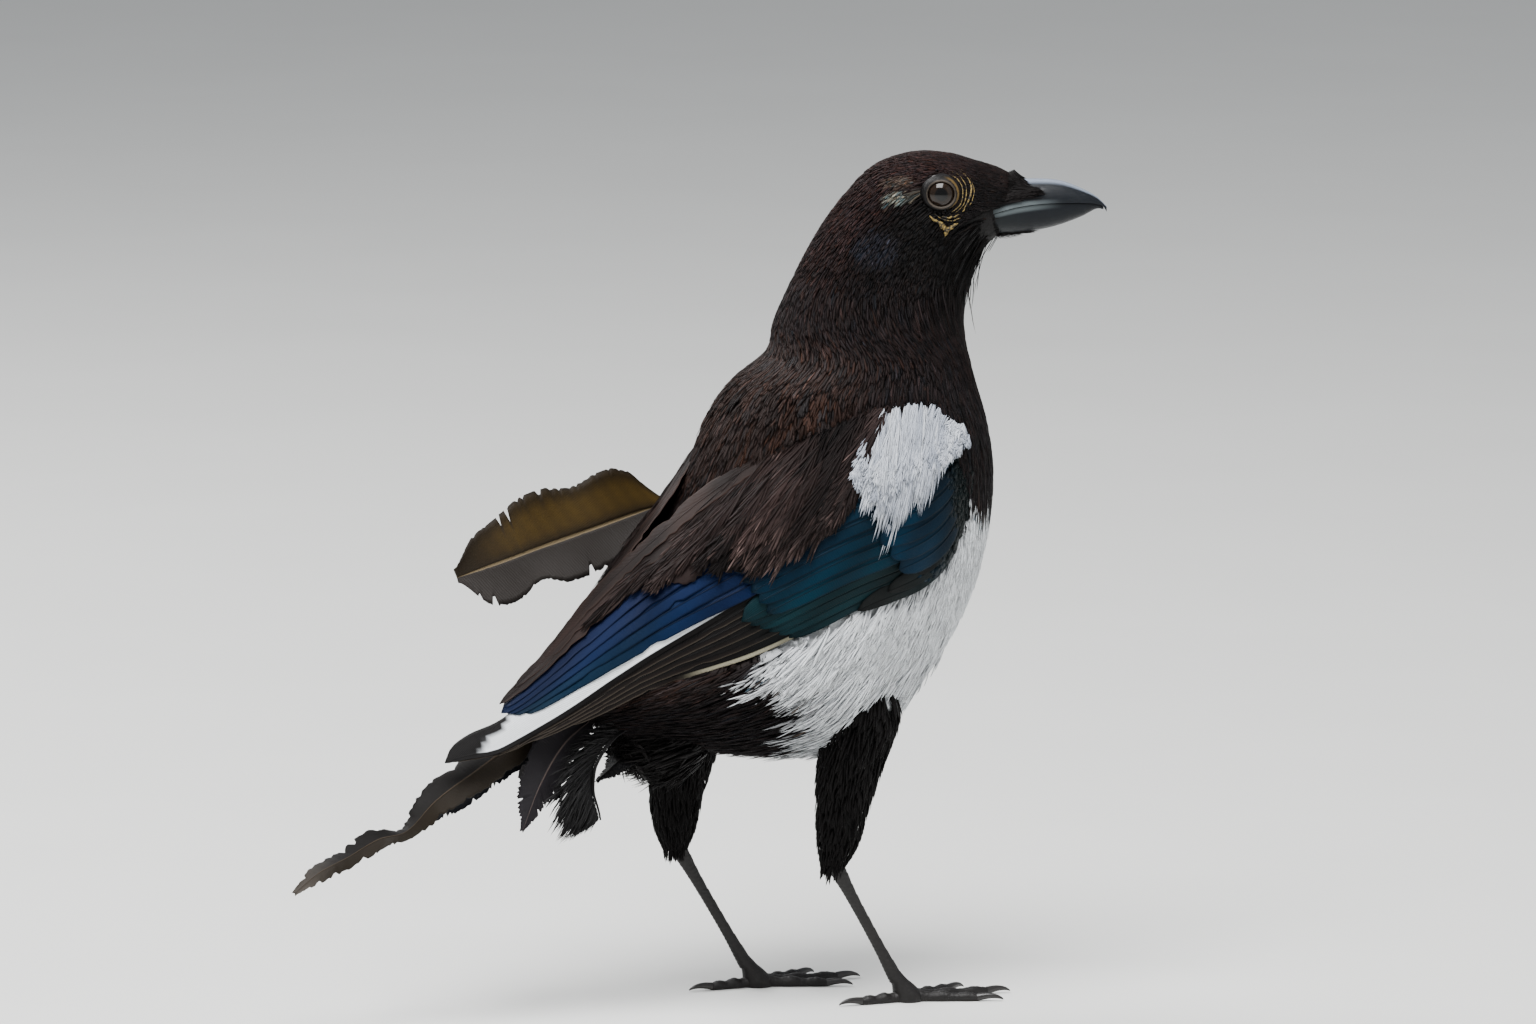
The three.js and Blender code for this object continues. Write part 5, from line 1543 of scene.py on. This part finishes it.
# A curled feather under the tail, whose barbs have come apart so that light falls between them.
CURL = [(-62, -7, 87), (-73, -9, 86), (-81, -9.5, 79), (-83, -9.5, 70), (-80.5, -9, 60)]
CURL_REACH, CURL_LEAN, CURL_BARBS = [4, 8, 14, 17, 9], 0.7, 900
CURL_FACING = (0.2, -1, 0.1)
curl_out = np.array(CURL_FACING, float) / np.linalg.norm(CURL_FACING)
curl_length = np.linalg.norm(np.diff(np.array(CURL, float), axis=0), axis=1).sum()


def curl_face(u, q, height=0.0):
    u, q, height = spread(u, q, height)
    before, after = np.maximum(np.minimum(u, 1) - 0.02, 0), np.minimum(u + 0.02, 1)
    across = unit(np.cross(bent_line(CURL, after) - bent_line(CURL, before), curl_out))
    return bent_line(CURL, u) + across * q[..., None] + curl_out * height[..., None]


def blown(reach, count):
    """A sag that carries the tips back and down, and to either side."""
    back, aside = -dice.uniform(0, reach, count), dice.normal(0, 1, count)
    return np.stack([back, aside, -dice.uniform(0, reach, count)], -1)


under = Bundle()
black_web = two_webs(srgb(13, 12, 15), srgb(11, 10, 11), srgb(34, 30, 28))
CURL_HALF = [0.6, 0.7, 0.6, 0.5, 0.3]
shaft_feather(under, CURL, CURL_HALF, CURL_HALF, CURL_FACING, black_web, 0.1, 0)
count = CURL_BARBS
u = dice.uniform(0.05, 0.98, count)
length = smooth_run(CURL_REACH, u) * dice.uniform(0.55, 1.15, count)
tint = srgb(12, 11, 12) * dice.uniform(0.6, 1.5, (count, 1))
add_leaves(
    under, curl_face, u, 0 * u, length, dice.uniform(0.3, 0.55, count), dice.normal(0, 0.5, count),
    tint, tint * 1.4, dice.normal(0, 0.12, count), (CURL_LEAN / curl_length, 1.0), sink=-0.1, bow=0.1,
    sag=blown(2, count), scale=(0.5, 20.0), bake=(1.0, 40.0),
)
for shaft, facing in (
    ([(-56, 5, 84), (-65, 8, 77), (-69, 9, 70)], (0.3, 1, 0.2)),
    ([(-60, 0, 82), (-70, -2, 76), (-78, -2, 70)], (-0.5, -0.3, 0.9)),
):
    shaft_feather(under, shaft, [3, 5, 5, 3, 0.8], [3, 5, 5, 3, 0.8], facing, black_web, 0.4, 6)
under.piece("undertail_vanes", vane_plume, "black_feather", "undertail_coverts")

VENT_FEATHERS = 1700
vent = Bundle()
count = VENT_FEATHERS
first, second = np.arccos(dice.uniform(-0.98, 0.9, count)) / np.pi, dice.uniform(0, ROUND, count)
tint = srgb(14, 12, 12) * dice.uniform(0.6, 1.5, (count, 1))
add_leaves(
    vent, vent_face, first, second, dice.uniform(8, 15, count), dice.uniform(0.6, 1.1, count),
    dice.uniform(-0.3, 2.2, count), tint, tint * 1.4, dice.normal(0, 0.2, count), sink=-2.2,
    sag=blown(5, count), scale=(0.2, 1.0),
)
vent.piece("vent_down", black_plume, "black_feather")

# The legs and feet. Below the thighs the shanks are bare: black horny plates lie across their front
# and along the toes, with soft pads under the toes and a curved claw on each.
TARSUS_HALF = [3.0, 2.1, 1.85, 1.95, 2.6]
FOOT_AHEAD = {"right": 14.0, "left": -14.0}
# Rings of the hub where the toes meet: height, half the width, and how far forward.
HUB_RINGS = [
    (0, 4.2, 2), (1.2, 4.5, 1.9), (2.5, 4.4, 1.6), (5, 3.4, 0.2), (7, 2.7, -1.5), (9, 1.9, -2.6)
]
ANKLE_RISE, FOOT_HEIGHT = 2, 6.0
# Toes: the way in degrees, the length and half the width.
TOES = [(26, 22, 1.9), (0, 28, 2.0), (-26, 22, 1.9), (180, 15, 2.1)]
TOE_HIGH, TOE_SLIM, TOE_CREASE = 3.4, 0.32, 0.1
CLAW_REACH, CLAW_BEND, CLAW_HALF, CLAW_HIGH = 8.7, 1.15, 0.95, 2.0
SHANK_ROWS, HUB_ROWS, TOE_ROWS, CLAW_ROWS = 150, 20, 90, 30


def plate_step(share, count):
    """How far each horny plate stands over the edge of the next."""
    return 1 - (share * count) % 1


def flat_soled(turns):
    """Height round a toe or a claw, flatter below than above."""
    return 0.42 + 0.58 * np.sin(turns)


def turns_of(columns):
    return np.linspace(0, ROUND, columns, endpoint=False)


shank, tree, shader = new_material("shank_skin", Specular_IOR_Level=0.3)
place = object_place(tree)
grain, wear_and_highlight = noise(place, 700, 4), noise(place, 140, 3)
cells = Wire.of(tree, "ShaderNodeTexVoronoi", None, {"Vector": place, "Scale": 1300})
feed(
    shader,
    Base_Color=blend(tree, wear_and_highlight * 0.6 + grain * 0.4, srgb(10, 9, 9), srgb(30, 27, 26)),
    Roughness=0.42 + 0.25 * grain,
    Normal=bump(cells * 0.7 + grain * 0.4, 0.00012),
)
claw_horn, tree, shader = new_material("claw_horn", Specular_IOR_Level=0.55)
grain = noise(object_place(tree), 500, 3, 0.6, (1, 1, 3))
feed(
    shader,
    Base_Color=blend(tree, grain, srgb(12, 11, 11), srgb(38, 34, 32)),
    Roughness=0.25 + 0.2 * grain,
    Normal=bump(grain, 0.0001, 0.6),
)

for name, (side, thigh) in THIGHS.items():
    y, foot = LEG_SPREAD * side, FOOT_AHEAD[name]
    ankle = np.array([thigh[-1][0], y, thigh[-1][1] + ANKLE_RISE])
    hub_top = np.array([foot + HUB_RINGS[4][2], y, FOOT_HEIGHT])
    u, turns = np.linspace(0, 1, SHANK_ROWS)[:, None], turns_of(24)
    half = smooth_run(TARSUS_HALF, u)
    front = smooth_step(np.cos(turns), -0.1, 0.5)
    stand_out = 0.17 * plate_step(u, 11) * front + 0.05 * np.sin(u * 190) * (1 - front)
    across = (half * THIGH_FLATNESS + stand_out) * np.sin(turns)
    ring = np.stack([(half + stand_out) * np.cos(turns), across, 0 * across], -1)
    hub = smooth_run(HUB_RINGS, np.linspace(0, 1, HUB_ROWS))
    high, wide, forward = (row[:, None] for row in hub.T)
    hub_x, hub_y = foot + forward + wide * np.cos(turns), y + wide * np.sin(turns)
    hub_ring = np.stack([hub_x, hub_y, np.maximum(high, 0) + 0 * turns], -1)
    tubes = [(ankle + (hub_top - ankle) * u)[:, None] + ring, hub_ring]
    claws = []
    for turn, length, wide in TOES:
        angle = math.radians(turn)
        along = np.array([math.cos(angle), math.sin(angle) * side, 0])
        aside = np.array([-math.sin(angle) * side, math.cos(angle), 0])
        start = np.array([foot + 1, y, 0])
        u, turns = np.linspace(0, 1, TOE_ROWS)[:, None], turns_of(18)
        size = (1 - TOE_SLIM * u) * (1 - TOE_CREASE * np.cos(u * 6 * np.pi))
        scute = 0.14 * plate_step(u, int(length / 2)) * smooth_step(np.sin(turns), 0.0, 0.6)
        high = np.maximum(0, TOE_HIGH * size * flat_soled(turns) + scute)
        across = wide * size * np.cos(turns)
        close = np.minimum(1, np.sqrt(np.clip((1 - u) / 0.04, 0, 1)) + 0.25)
        toe = start + along * (length * u)[..., None] + (across * close)[..., None] * aside
        tubes.append(toe + (high * close)[..., None] * up)
        u, turns = np.linspace(0, 1, CLAW_ROWS)[:, None], turns_of(14)
        distance = length - 0.6 + CLAW_REACH * np.sin(CLAW_BEND * u)
        half = CLAW_HALF * (1 - u) + 0.16
        tall = CLAW_HIGH * (1 - u) ** 0.8 + 0.34
        lift = 1.1 * np.sin(0.8 * np.pi * u) * (1 - 0.4 * u)
        high = np.maximum(lift, lift + tall * flat_soled(turns))
        claw = start + along * distance[..., None] + (half * np.cos(turns))[..., None] * aside
        claws.append(claw + high[..., None] * up)
    for piece_name, rings, material, slot, nodes in (
        ("shank_and_toes_", tubes, shank, "leg_skin", ["tarsus_" + name, "foot_" + name]),
        ("claws_", claws, claw_horn, "claw", [f"claw_{name}_{number}" for number in (1, 2, 3, 4)]),
    ):
        closed(piece_name + name, [tube(metres(one)) for one in rings], material, slot, *nodes, crease=40)
